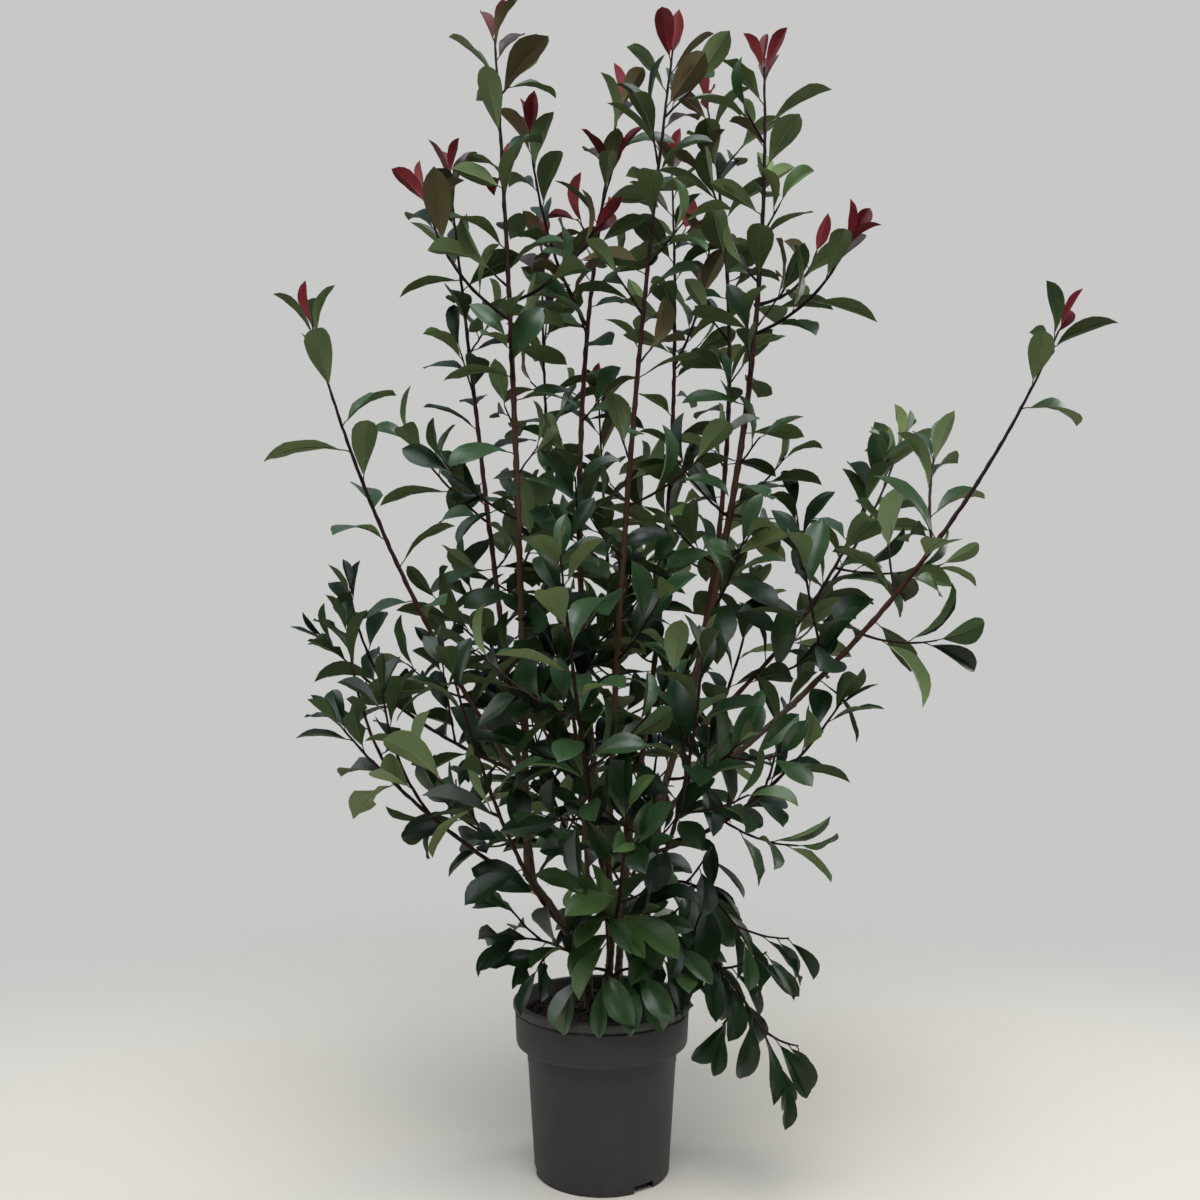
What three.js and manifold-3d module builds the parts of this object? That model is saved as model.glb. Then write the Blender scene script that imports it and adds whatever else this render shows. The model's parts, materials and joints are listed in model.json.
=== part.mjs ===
// A young photinia in its nursery pot, as one reusable part.
//
// Millimetres, +Z up, the front faces -Y. The origin is the middle of the outer
// pot's flat underside. Two nested pots hold the soil. Six stems rise from it and
// fork into boughs, and every bough ends where its mass of foliage begins. A mass
// is one solid: its cane, the side shoots on that cane, and the leaves on both.

import * as THREE from 'three';
import { mergeVertices } from 'three/addons/utils/BufferGeometryUtils.js';
import Module from 'manifold-3d';

// ---------------------------------------------------------------- sizes, in mm

const CLEARANCE = 0.3; // between neighbouring solids
const SLIVER = { edge: 0.003, height: 0.0005 }; // every face of a joined solid is larger than this
const ATTEMPTS = { count: 16, twist: 3.7, slide: 0.6 }; // degrees round and mm along, to avoid slivers

// Each pot widens from its foot to a shoulder, where a ledge leads out to a collar.
const OUTER_POT = {
  footRadius: 106, shoulderRadius: 118, shoulderHeight: 195,
  ledge: 11, ledgeRise: 4, ledgeRound: 2,
  collarRadius: 135, rimRadius: 137, rimHeight: 252, rimRound: 0.8,
  wall: 2.4, floor: 3,
};
const INNER_POT = {
  standsAt: 12, footRadius: 97, shoulderRadius: 111, shoulderHeight: 205,
  ledge: 10, collarRadius: 129, neckRadius: 130,
  lipRadius: 140, lipHeight: 268, lipRound: 1.5,
  wall: 2.4, floor: 3,
};
const NOTCH = { count: 3, width: 37, height: 12, firstAngle: -53, inset: 22 };
const SOIL = { topHeight: 248, edgeDrop: 5, edgeWidth: 16 };
const LATHE_SEGMENTS = 28;

const GROUND_BLOCK = 600; // side of the block that cuts the stems flat at the soil

const LIMB = { sides: 6, stepLength: 90, flareHeight: 45, flareGrowth: 0.55, footDepth: 9, grownStart: 3 };
const TWIG = { sides: 3, stepLength: 150, tipRadius: 1.3 };

// A leaf is measured from its root in the twig. The side corners of its outline
// lie past the middle, and the ridge under it is deepest near the stalk.
const LEAF = {
  length: 106, halfWidthShare: 0.27, ribDepth: 1.6,
  sidesAt: 0.56, ribAt: 0.24, fold: 0.1, tipDrop: 0.13,
};

// Leaves follow one another round a shoot by the golden angle, counted from the
// tip: distance back from the tip, size and opening angle of the youngest ones.
const YOUNG_LEAVES = [
  { back: 4, size: 0.58, opening: 12 },
  { back: 9, size: 0.64, opening: 20 },
  { back: 19, size: 0.72, opening: 28 },
  { back: 36, size: 0.82, opening: 36 },
  { back: 62, size: 0.92, opening: 40 },
];
const FIRST_ON_SIDE_SHOOT = 2; // a side shoot ends in a leaf of this row above
const LEAF_GAP = 62;
const GROWN_OPENING = { young: 42, old: 78, ageingLength: 700 };
const DROOP = { young: 0.06, old: 0.42, leastShare: 0.5 };
const GOLDEN_ANGLE = 137.5;
const LEAF_SPREAD = { size: 0.14, turn: 24, opening: 14, roll: 34, gap: 0.2 };
const TURN_TO_LIGHT = 0.7; // how far a grown leaf turns its face from its stem to the light
const LIGHT_SIDE = new THREE.Vector3(-0.15, -0.35, 0.92);
const SHADED_FACE = { outward: 0.45, front: 0.5, up: 0.6 }; // where a leaf on a low inner twig turns its face
const LEAST_FOOT = 12; // no leaf stands nearer than this to the foot of its twig

// Short side shoots stand on a cane wherever it is below this height, or between
// two heights of its own.
const SHOOTS = {
  belowHeight: 1060, firstAt: 40, stopBeforeTip: 150, gap: 126,
  length: 105, extraLength: 75, opening: 58, openingSpread: 10, lift: 34, sag: 0.07, radius: 1.9,
};

// Every mass has its own seed. It turns the first leaf and the first shoot, and
// each draw by chance has a number of its own.
const SEED_TURN = { leaf: 40, shoot: 70 };
const SHOOT_SEED_STEP = 0.37;
const DRAW = {
  leafSize: 1, leafTurn: 2, leafOpening: 3, leafDroop: 4, leafRoll: 5, leafGap: 6,
  shootLength: 7, shootOpening: 8, shootLift: 9,
};

// Stems: foot on the soil, tip, bow at mid length, radii at foot and tip.
const STEMS = [
  { name: 'stem_left', foot: [-20, 10], tip: [-118, -8, 462], bow: [24, 0, 0], radii: [6.6, 5.6] },
  { name: 'stem_middle', foot: [3, 14], tip: [6, 8, 500], bow: [10, 0, 0], radii: [6.4, 5.4] },
  { name: 'stem_right', foot: [42, 8], tip: [92, -4, 580], bow: [5, 0, 0], radii: [7, 5.8] },
  { name: 'stem_slim', foot: [-19, 38], tip: [-46, 84, 700], bow: [8, 4, 0], radii: [4.2, 3.2] },
  { name: 'stem_back', foot: [22, 50], tip: [46, 118, 500], bow: [0, -6, 0], radii: [6.2, 5.2] },
  { name: 'stem_front', foot: [14, -34], tip: [18, -76, 318], bow: [0, 6, 0], radii: [3.4, 2.8] },
];

// Canes: the limb they grow from and how far along it, tip, bow at mid length,
// radii, and the bare share of their length. The bare share is a bough of its own.
// Longer side shoots that stand out of the foliage are named with their cane. A
// stretch of a cane can be clear of leaves, and its leaves larger or more drooping.
const CANES = [
  { name: 'tall_left', parent: 'stem_left', at: 1, tip: [-164, -60, 1752], bow: [8, 0, 0], radii: [5.4, 1.6],
    bare: 0.16, shoots: [
      { at: 0.67, tip: [-280, 0, 1538], bow: [-20, 0, -14] },
      { at: 0.69, tip: [-10, -20, 1478], bow: [10, 0, -14] }] },
  { name: 'left_leader', parent: 'stem_left', at: 0.94, tip: [-252, 80, 1606], bow: [-6, 30, 0],
    radii: [4.6, 1.5], bare: 0.2 },
  { name: 'far_left', parent: 'tall_left', at: 0.11, tip: [-440, -70, 1305], bow: [-30, -14, -14],
    radii: [3.8, 1.4], bare: 0.16, gap: 68, size: 1.16, shootsBelow: 760 },
  { name: 'low_left', parent: 'left_leader', at: 0.15, tip: [-462, 84, 842], bow: [-12, 20, -24],
    radii: [3, 1.3], bare: 0, shoots: [{ at: 0.56, tip: [-412, 60, 916], bow: [-12, 0, -10] }] },
  { name: 'lowest_left', parent: 'stem_left', at: 0.86, tip: [-388, -120, 706], bow: [-14, -14, -8],
    radii: [3.4, 1.3], bare: 0.22, shootsBelow: 0, shoots: [
      { at: 0.5, tip: [-330, -90, 760], bow: [-14, 0, -10] },
      { at: 0.66, tip: [-398, -20, 852], bow: [-14, 0, -14] }] },
  { name: 'middle_left', parent: 'stem_middle', at: 1, tip: [31, 66, 1722], bow: [-54, 0, 0], radii: [5.2, 1.5],
    bare: 0.16, shoots: [{ at: 0.69, tip: [-116, 30, 1652], bow: [-16, 0, -10] }] },
  { name: 'middle_right', parent: 'stem_middle', at: 0.86, tip: [104, -120, 1698], bow: [-16, -16, 0],
    radii: [4.8, 1.5], bare: 0.18 },
  { name: 'right_leader', parent: 'stem_right', at: 1, tip: [252, -34, 1722], bow: [48, 0, 0], radii: [5.6, 1.6],
    bare: 0.22, shoots: [
      { at: 0.64, tip: [372, -84, 1430], bow: [12, 0, -16] },
      { at: 0.68, tip: [346, 30, 1462], bow: [12, 0, -16] }] },
  { name: 'inner_right', parent: 'right_leader', at: 0.16, tip: [176, 104, 1738], bow: [50, 24, 0],
    radii: [4.2, 1.4], bare: 0.08 },
  { name: 'back_right', parent: 'stem_back', at: 1, tip: [124, 214, 1684], bow: [34, 40, 0], radii: [4.8, 1.4],
    bare: 0.22, shoots: [{ at: 0.7, tip: [196, 236, 1566], bow: [10, 0, -12] }] },
  { name: 'thin_back', parent: 'stem_slim', at: 1, tip: [-104, 168, 1528], bow: [-14, 14, 0], radii: [3.1, 1.3],
    bare: 0 },
  { name: 'far_right', parent: 'stem_right', at: 0.94, tip: [700, -56, 1306], bow: [54, -20, -34],
    radii: [4.6, 1.4], bare: 0.3, gap: 84, size: 1.1, clear: [0.7, 0.87], shootsBelow: 960,
    shoots: [{ at: 0.6, tip: [524, -6, 1126], bow: [-6, 0, -10] }] },
  { name: 'mid_right', parent: 'right_leader', at: 0.07, tip: [468, 110, 1138], bow: [46, 24, -16],
    radii: [3.8, 1.4], bare: 0.2, shoots: [{ at: 0.46, tip: [522, 176, 1190], bow: [16, 6, -14] }] },
  { name: 'low_right', parent: 'stem_right', at: 0.76, tip: [352, -128, 740], bow: [12, -14, -30],
    radii: [3.2, 1.3], bare: 0.24 },
  { name: 'hanging_right_upper', parent: 'stem_right', at: 0.58, tip: [214, -104, 380], bow: [0, -6, 46],
    radii: [2.6, 1.3], bare: 0, gap: 40, shaded: true, droop: 1.1 },
  { name: 'hanging_right_lower', parent: 'stem_right', at: 0.4, tip: [264, -150, 196], bow: [6, -8, 56],
    radii: [2.6, 1.3], bare: 0, gap: 48, shaded: true, droop: 1.3 },
  { name: 'front_middle', parent: 'stem_middle', at: 0.66, tip: [-56, -276, 936], bow: [0, -34, -44],
    radii: [4, 1.4], bare: 0.2 },
  { name: 'front_right', parent: 'stem_right', at: 0.66, tip: [136, -262, 806], bow: [4, -34, -44],
    radii: [3.6, 1.4], bare: 0.2 },
  { name: 'front_left', parent: 'stem_left', at: 0.62, tip: [-206, -250, 790], bow: [0, -34, -44],
    radii: [3.6, 1.4], bare: 0.2, shootsFrom: 540 },
  { name: 'front_low', parent: 'stem_middle', at: 0.48, tip: [34, -216, 590], bow: [0, -24, -34],
    radii: [3, 1.3], bare: 0, shaded: true, droop: 0.3, shoots: [
      { at: 0.1, tip: [66, -118, 420], bow: [0, 0, 10] },
      { at: 0.16, tip: [-28, -122, 456], bow: [0, 0, 10] }] },
  { name: 'back_middle', parent: 'stem_back', at: 0.92, tip: [-6, 256, 1286], bow: [0, 44, -44],
    radii: [4.2, 1.4], bare: 0.18 },
  { name: 'back_left', parent: 'stem_back', at: 0.8, tip: [-244, 222, 968], bow: [-20, 44, -44],
    radii: [3.8, 1.4], bare: 0.22 },
  { name: 'back_far_right', parent: 'stem_back', at: 0.86, tip: [276, 232, 930], bow: [20, 44, -54],
    radii: [3.8, 1.4], bare: 0.22 },
  { name: 'back_low', parent: 'stem_back', at: 0.62, tip: [112, 248, 756], bow: [6, 24, -44],
    radii: [3, 1.3], bare: 0, shaded: true },
  { name: 'back_low_left', parent: 'stem_back', at: 0.5, tip: [-132, 236, 730], bow: [-14, 24, -40],
    radii: [3, 1.3], bare: 0, shaded: true },
  { name: 'rim_left', parent: 'stem_left', at: 0.4, tip: [-142, -60, 372], bow: [0, -8, 16],
    radii: [2.2, 1.3], bare: 0, shaded: true, droop: 0.35,
    shoots: [{ at: 0.2, tip: [-96, -96, 340], bow: [0, 0, 12] }] },
  { name: 'rim_front', parent: 'stem_front', at: 1, tip: [2, -128, 334], bow: [0, -4, 12],
    radii: [2.4, 1.3], bare: 0, shaded: true, droop: 1.1, shoots: [
      { at: 0.1, tip: [64, -122, 338], bow: [0, 0, 10] },
      { at: 0.3, tip: [-40, -120, 330], bow: [0, 0, 10] }] },
  { name: 'rim_right', parent: 'stem_right', at: 0.22, tip: [118, -74, 346], bow: [0, -8, 18],
    radii: [2.2, 1.3], bare: 0, shaded: true, droop: 0.5,
    shoots: [{ at: 0.3, tip: [104, -110, 380], bow: [0, 0, 10] }] },
  { name: 'spray_left', parent: 'tall_left', at: 0.04, tip: [-250, -30, 590], bow: [-6, -4, -16],
    radii: [2.4, 1.3], bare: 0, shaded: true },
  { name: 'spray_middle', parent: 'middle_left', at: 0.07, tip: [-96, -110, 726], bow: [-8, -12, -16],
    radii: [2.4, 1.3], bare: 0, shaded: true },
  { name: 'spray_right', parent: 'right_leader', at: 0.03, tip: [214, -96, 690], bow: [8, -8, -16],
    radii: [2.4, 1.3], bare: 0, shaded: true },
  { name: 'spray_back', parent: 'stem_slim', at: 0.62, tip: [-150, 164, 660], bow: [-8, 10, -16],
    radii: [2.4, 1.3], bare: 0, shaded: true },
];

// ------------------------------------------------------------------- materials

const material = (color, roughness) => new THREE.MeshStandardMaterial({ color, roughness, metalness: 0 });
const POT_PLASTIC = [0x3d3b3a, 0.62];
const LIP_PLASTIC = [0x474443, 0.6];
const COMPOST = [0x241a12, 0.95];
const OLD_BARK = [0x4b3a2e, 0.85];
const YOUNG_BARK = [0x35191a, 0.6];
const LEAF_GREEN = [0x2a4028, 0.38];

// -------------------------------------------------------------- small geometry

const wasm = await Module();
wasm.setup();

const UP = new THREE.Vector3(0, 0, 1);
const UPRIGHT = 0.05; // a limb that leans less than this counts as upright
const WELD = 1e-4;

function toSolid(geometry) {
  const bare = geometry.index ? geometry.toNonIndexed() : geometry.clone();
  bare.deleteAttribute('normal');
  bare.deleteAttribute('uv');
  const welded = mergeVertices(bare, WELD);
  const mesh = new wasm.Mesh({
    numProp: 3,
    vertProperties: new Float32Array(welded.attributes.position.array),
    triVerts: new Uint32Array(welded.index.array),
  });
  return new wasm.Manifold(mesh);
}

function toGeometry(solid) {
  const mesh = solid.getMesh();
  const geometry = new THREE.BufferGeometry();
  geometry.setAttribute('position', new THREE.BufferAttribute(mesh.vertProperties, 3));
  geometry.setIndex(new THREE.BufferAttribute(mesh.triVerts, 1));
  geometry.computeVertexNormals();
  return geometry;
}

function largestBody(solid) {
  const bodies = solid.decompose();
  return bodies.reduce((best, body) => (body.volume() > best.volume() ? body : best));
}

// Whether any face of the solid is so narrow that rounding could close it up.
function hasSliver(solid) {
  const mesh = solid.getMesh();
  const corner = [0, 1, 2].map(() => new THREE.Vector3());
  const face = new THREE.Triangle(...corner);
  for (let i = 0; i < mesh.triVerts.length; i += 3) {
    corner.forEach((point, k) => point.fromArray(mesh.vertProperties, 3 * mesh.triVerts[i + k]));
    face.set(...corner);
    const edges = [face.a.distanceTo(face.b), face.b.distanceTo(face.c), face.c.distanceTo(face.a)];
    const height = (2 * face.getArea()) / Math.max(...edges);
    if (Math.min(...edges) < SLIVER.edge || height < SLIVER.height) return true;
  }
  return false;
}

// The first of a few slightly different solids that has no sliver, or nothing.
function firstClean(make) {
  for (let attempt = 0; attempt < ATTEMPTS.count; attempt += 1) {
    const solid = make(attempt);
    if (solid && !hasSliver(solid)) return solid;
  }
  return null;
}

function boxesMeet(a, b, margin) {
  return [0, 1, 2].every((axis) => a.min[axis] <= b.max[axis] + margin && b.min[axis] <= a.max[axis] + margin);
}

// A value from 0 to 1 that is always the same for the same seed, draw and step.
function chance(seed, draw, step) {
  const wave = Math.sin(seed * 12.9898 + draw * 37.719 + step * 78.233) * 43758.5453;
  return wave - Math.floor(wave);
}

// The same value, spread from -1 to 1.
function swing(seed, draw, step) {
  return 2 * chance(seed, draw, step) - 1;
}

// The centre line of a limb: straight from foot to tip, plus a bow at mid length.
class Cane extends THREE.Curve {
  constructor(foot, tip, bow) {
    super();
    this.foot = foot;
    this.tip = tip;
    this.bow = bow;
    this.span = foot.distanceTo(tip);
    const chord = tip.clone().sub(foot).normalize();
    this.reference = new THREE.Vector3(-chord.y, chord.x, 0);
    if (this.reference.length() < UPRIGHT) this.reference.set(1, 0, 0);
    this.reference.normalize();
  }

  getPoint(t, target = new THREE.Vector3()) {
    return target.copy(this.foot).lerp(this.tip, t).addScaledVector(this.bow, 4 * t * (1 - t));
  }

  along(t) {
    const slope = this.tip.clone().sub(this.foot).addScaledVector(this.bow, 4 - 8 * t);
    return slope.normalize();
  }

  // The point at t on the straight steps that a tube from one place on takes.
  onSteps(t, from, stepLength) {
    const steps = stepCount(this, from, 1, stepLength);
    const share = ((t - from) / (1 - from)) * steps;
    const step = Math.min(steps - 1, Math.floor(share));
    const placeOf = (i) => from + ((1 - from) * i) / steps;
    return this.getPoint(placeOf(step)).lerp(this.getPoint(placeOf(step + 1)), share - step);
  }

  // A direction square to the limb at t, turned by an angle round it.
  sideways(t, degrees) {
    const along = this.along(t);
    const side = this.reference.clone().addScaledVector(along, -this.reference.dot(along)).normalize();
    return side.applyAxisAngle(along, THREE.MathUtils.degToRad(degrees));
  }
}

function stepCount(cane, from, to, stepLength) {
  return Math.max(2, Math.round((cane.span * (to - from)) / stepLength));
}

// A cylinder drawn out along a cane between two places on it, radius by function.
function tube(cane, from, to, radiusAt, { sides, stepLength }, twist = 0) {
  const steps = stepCount(cane, from, to, stepLength);
  const geometry = new THREE.CylinderGeometry(1, 1, 1, sides, steps);
  const position = geometry.attributes.position;
  const point = new THREE.Vector3();
  for (let i = 0; i < position.count; i += 1) {
    point.fromBufferAttribute(position, i);
    const share = point.y + 0.5;
    const t = from + (to - from) * share;
    const radius = radiusAt(share);
    const side = cane.sideways(t, twist);
    const across = side.clone().cross(cane.along(t));
    const placed = cane.getPoint(t).addScaledVector(side, point.x * radius).addScaledVector(across, point.z * radius);
    position.setXYZ(i, placed.x, placed.y, placed.z);
  }
  return geometry;
}

const taper = (radii) => (share) => radii[0] + (radii[1] - radii[0]) * share;

// ------------------------------------------------------------------------ pots

function turned(profile) {
  const points = profile.map(([radius, height]) => new THREE.Vector2(radius, height));
  const geometry = new THREE.LatheGeometry(points, LATHE_SEGMENTS);
  geometry.rotateX(Math.PI / 2);
  return geometry;
}

function cutNotches(solid, pot, base) {
  let result = solid;
  for (let i = 0; i < NOTCH.count; i += 1) {
    const box = new THREE.BoxGeometry(NOTCH.inset * 2, NOTCH.width, NOTCH.height * 2);
    box.translate(pot.footRadius, 0, base);
    box.rotateZ(THREE.MathUtils.degToRad(NOTCH.firstAngle + (360 / NOTCH.count) * i));
    result = result.subtract(toSolid(box));
  }
  return result;
}

function outerPotSolid() {
  const pot = OUTER_POT;
  const profile = [
    [0, 0],
    [pot.footRadius, 0],
    [pot.shoulderRadius, pot.shoulderHeight],
    [pot.collarRadius - pot.ledgeRound, pot.shoulderHeight + pot.ledgeRise],
    [pot.collarRadius, pot.shoulderHeight + pot.ledge],
    [pot.rimRadius, pot.rimHeight - pot.rimRound],
    [pot.rimRadius - pot.rimRound, pot.rimHeight],
    [pot.rimRadius - pot.wall, pot.rimHeight],
    [pot.collarRadius - pot.wall, pot.shoulderHeight + pot.ledge + pot.wall],
    [pot.shoulderRadius - pot.wall, pot.shoulderHeight + pot.wall],
    [pot.footRadius - pot.wall, pot.floor],
    [0, pot.floor],
  ];
  return cutNotches(toSolid(turned(profile)), pot, 0);
}

function innerWallRadius(height) {
  const pot = INNER_POT;
  const share = (height - pot.standsAt) / (pot.shoulderHeight - pot.standsAt);
  return pot.footRadius + (pot.shoulderRadius - pot.footRadius) * share - pot.wall;
}

function innerPotSolid() {
  const pot = INNER_POT;
  const lipFoot = OUTER_POT.rimHeight + CLEARANCE;
  const profile = [
    [0, pot.standsAt],
    [pot.footRadius, pot.standsAt],
    [pot.shoulderRadius, pot.shoulderHeight],
    [pot.collarRadius, pot.shoulderHeight + pot.ledge],
    [pot.neckRadius, lipFoot],
    [pot.lipRadius - pot.lipRound, lipFoot],
    [pot.lipRadius, lipFoot + pot.lipRound],
    [pot.lipRadius, pot.lipHeight - pot.lipRound],
    [pot.lipRadius - pot.lipRound, pot.lipHeight],
    [pot.neckRadius - pot.wall, pot.lipHeight],
    [pot.collarRadius - pot.wall, pot.shoulderHeight + pot.ledge + pot.wall],
    [pot.shoulderRadius - pot.wall, pot.shoulderHeight + pot.wall],
    [pot.footRadius - pot.wall, pot.standsAt + pot.floor],
    [0, pot.standsAt + pot.floor],
  ];
  return cutNotches(toSolid(turned(profile)), pot, pot.standsAt);
}

function soilSolid() {
  const pot = INNER_POT;
  const bottom = pot.standsAt + pot.floor + CLEARANCE;
  const shoulder = pot.shoulderHeight;
  const ledgeTop = pot.shoulderHeight + pot.ledge + pot.wall;
  const edgeRadius = pot.collarRadius - pot.wall - CLEARANCE;
  const profile = [
    [0, bottom],
    [innerWallRadius(bottom) - CLEARANCE, bottom],
    [innerWallRadius(shoulder) - CLEARANCE, shoulder + pot.wall],
    [edgeRadius, ledgeTop + CLEARANCE],
    [edgeRadius, SOIL.topHeight - SOIL.edgeDrop],
    [edgeRadius - SOIL.edgeWidth, SOIL.topHeight],
    [0, SOIL.topHeight],
  ];
  return toSolid(turned(profile));
}

// ----------------------------------------------------------------------- limbs

const limbs = new Map(); // name -> { cane, grown }, where grown is the limb and its clearance
const pieces = []; // finished solids in order: { name, solid, box, look }

function addPiece(name, solid, look) {
  pieces.push({ name, solid, box: solid.boundingBox(), look });
}

// Cuts a new limb clear of every limb that stands already.
function clearOfLimbs(solid) {
  let result = solid;
  for (const limb of limbs.values()) {
    const near = limb.grown && boxesMeet(result.boundingBox(), limb.grown.boundingBox(), 0);
    if (near) result = result.subtract(limb.grown);
  }
  return largestBody(result);
}

function belowSoil() {
  const box = new THREE.BoxGeometry(GROUND_BLOCK, GROUND_BLOCK, GROUND_BLOCK);
  box.translate(0, 0, SOIL.topHeight + CLEARANCE - GROUND_BLOCK / 2);
  return toSolid(box);
}

function addLimb(name, cane, to, radiusAt, look) {
  let twist = 0;
  const solid = firstClean((attempt) => {
    twist = attempt * ATTEMPTS.twist;
    const whole = toSolid(tube(cane, 0, to, radiusAt, LIMB, twist));
    return clearOfLimbs(whole.subtract(belowSoil()));
  });
  const grownRadius = (share) => radiusAt(share) + CLEARANCE;
  const start = -LIMB.grownStart / cane.span;
  const end = to + CLEARANCE / cane.span;
  const grown = toSolid(tube(cane, start, end, grownRadius, LIMB, twist));
  limbs.set(name, { cane, grown });
  addPiece(name, solid, look);
}

function addStem(row) {
  const foot = new THREE.Vector3(row.foot[0], row.foot[1], SOIL.topHeight - LIMB.footDepth);
  const cane = new Cane(foot, new THREE.Vector3(...row.tip), new THREE.Vector3(...row.bow));
  const flareShare = LIMB.flareHeight / cane.span;
  const radiusAt = (share) => {
    const flare = Math.max(0, 1 - share / flareShare);
    return taper(row.radii)(share) * (1 + LIMB.flareGrowth * flare * flare);
  };
  addLimb(row.name, cane, 1, radiusAt, OLD_BARK);
}

function caneOf(row) {
  const parent = limbs.get(row.parent);
  const foot = parent.cane.getPoint(row.at);
  return new Cane(foot, new THREE.Vector3(...row.tip), new THREE.Vector3(...row.bow));
}

// -------------------------------------------------------------------- foliage

// How far along, across and above its root a corner of a leaf lies.
function leafCorner(end, side, length) {
  const width = length * LEAF.halfWidthShare;
  if (end < 0) return [0, 0, 0];
  if (end > 0) return [length, 0, -LEAF.tipDrop * length];
  if (side === 0) return [LEAF.ribAt * length, 0, -LEAF.ribDepth];
  return [LEAF.sidesAt * length, side * width, LEAF.fold * width];
}

// A sphere of three sides and two rows is two pyramids on one triangle. Drawn out,
// its poles are the stalk end and the tip of a leaf, and its triangle the two side
// corners and the rib below them. The halves fold up and the tip bends down.
function leafSolid(leaf) {
  const geometry = new THREE.SphereGeometry(1, 3, 2);
  const position = geometry.attributes.position;
  const across = leaf.face.clone().cross(leaf.along);
  for (let i = 0; i < position.count; i += 1) {
    const end = Math.round(position.getY(i));
    const side = Math.round(position.getZ(i));
    const [reach, breadth, height] = leafCorner(end, side, leaf.length);
    const placed = leaf.root.clone()
      .addScaledVector(leaf.along, reach)
      .addScaledVector(across, breadth)
      .addScaledVector(leaf.face, height);
    position.setXYZ(i, placed.x, placed.y, placed.z);
  }
  return toSolid(geometry);
}

// Which way a leaf turns its face, before it is made square to the leaf.
function faceOf(root, stem, isYoung, isShaded) {
  if (!isShaded) return stem.clone().addScaledVector(LIGHT_SIDE, isYoung ? 0 : TURN_TO_LIGHT);
  const outward = new THREE.Vector3(root.x, root.y, 0).normalize();
  return outward.multiplyScalar(SHADED_FACE.outward).add(new THREE.Vector3(0, -SHADED_FACE.front, SHADED_FACE.up));
}

// Where each leaf of a twig stands and how it is turned, from the tip back.
function leavesOn({ cane, from, seed, first, clear = [1, 1] }, row) {
  const leaves = [];
  const { gap = LEAF_GAP, droop: extraDroop = 0, size: sizeShare = 1 } = row;
  const leafyLength = cane.span * (1 - from) - LEAST_FOOT;
  let back = YOUNG_LEAVES[0].back;
  for (let i = first; back < leafyLength; i += 1) {
    const young = YOUNG_LEAVES[i];
    const age = Math.min(1, back / GROWN_OPENING.ageingLength);
    const opening = young ? young.opening : THREE.MathUtils.lerp(GROWN_OPENING.young, GROWN_OPENING.old, age);
    const size = young ? young.size : 1 + LEAF_SPREAD.size * swing(seed, DRAW.leafSize, i);
    const limpShare = DROOP.leastShare + chance(seed, DRAW.leafDroop, i);
    const limpness = THREE.MathUtils.lerp(DROOP.young, DROOP.old, age) * limpShare;
    const droop = (young ? 0 : limpness) + extraDroop;

    const t = 1 - back / cane.span;
    const stem = cane.along(t);
    const turn = SEED_TURN.leaf * seed + GOLDEN_ANGLE * i + LEAF_SPREAD.turn * swing(seed, DRAW.leafTurn, i);
    const tilt = THREE.MathUtils.degToRad(opening + LEAF_SPREAD.opening * swing(seed, DRAW.leafOpening, i));
    const along = stem.clone().multiplyScalar(Math.cos(tilt)).addScaledVector(cane.sideways(t, turn), Math.sin(tilt));
    along.addScaledVector(UP, -droop).normalize();

    const root = cane.onSteps(t, from, TWIG.stepLength);
    const face = faceOf(root, stem, young, row.shaded);
    face.addScaledVector(along, -face.dot(along)).normalize();
    face.applyAxisAngle(along, THREE.MathUtils.degToRad(LEAF_SPREAD.roll * swing(seed, DRAW.leafRoll, i)));
    const isClear = t > clear[0] && t < clear[1];
    if (!isClear) leaves.push({ root, stem, along, face, length: LEAF.length * size * sizeShare });

    const next = YOUNG_LEAVES[i + 1];
    back += next ? next.back - young.back : gap * (1 + LEAF_SPREAD.gap * swing(seed, DRAW.leafGap, i));
  }
  return leaves;
}

// Side shoots by rule: they leave the cane round the golden angle and turn up.
function ruledShoots(cane, from, seed, { shootsFrom = 0, shootsBelow = SHOOTS.belowHeight }) {
  const shoots = [];
  const first = from * cane.span + SHOOTS.firstAt;
  for (let i = 0; first + i * SHOOTS.gap < cane.span - SHOOTS.stopBeforeTip; i += 1) {
    const t = (first + i * SHOOTS.gap) / cane.span;
    const foot = cane.onSteps(t, from, TWIG.stepLength);
    if (foot.z > shootsFrom && foot.z < shootsBelow) {
      const length = SHOOTS.length + SHOOTS.extraLength * chance(seed, DRAW.shootLength, i);
      const out = cane.sideways(t, SEED_TURN.shoot * seed + GOLDEN_ANGLE * i);
      const opening = SHOOTS.opening + SHOOTS.openingSpread * swing(seed, DRAW.shootOpening, i);
      const tilt = THREE.MathUtils.degToRad(opening);
      const aim = cane.along(t).multiplyScalar(Math.cos(tilt)).addScaledVector(out, Math.sin(tilt));
      const tip = foot.clone().addScaledVector(aim, length);
      tip.z += SHOOTS.lift * chance(seed, DRAW.shootLift, i);
      shoots.push(new Cane(foot, tip, new THREE.Vector3(0, 0, -length * SHOOTS.sag)));
    }
  }
  return shoots;
}

const masses = CANES.map((row, index) => ({ row, seed: index + 1, twigs: [], body: null }));

function touchesAny(solid, others) {
  const box = solid.boundingBox();
  return others.some((other) => boxesMeet(box, other.box, CLEARANCE) && !solid.intersect(other.solid).isEmpty());
}

function addTwig(mass, solid, twig, taken) {
  mass.twigs.push(twig);
  taken.push({ solid, box: solid.boundingBox(), owner: mass });
}

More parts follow.
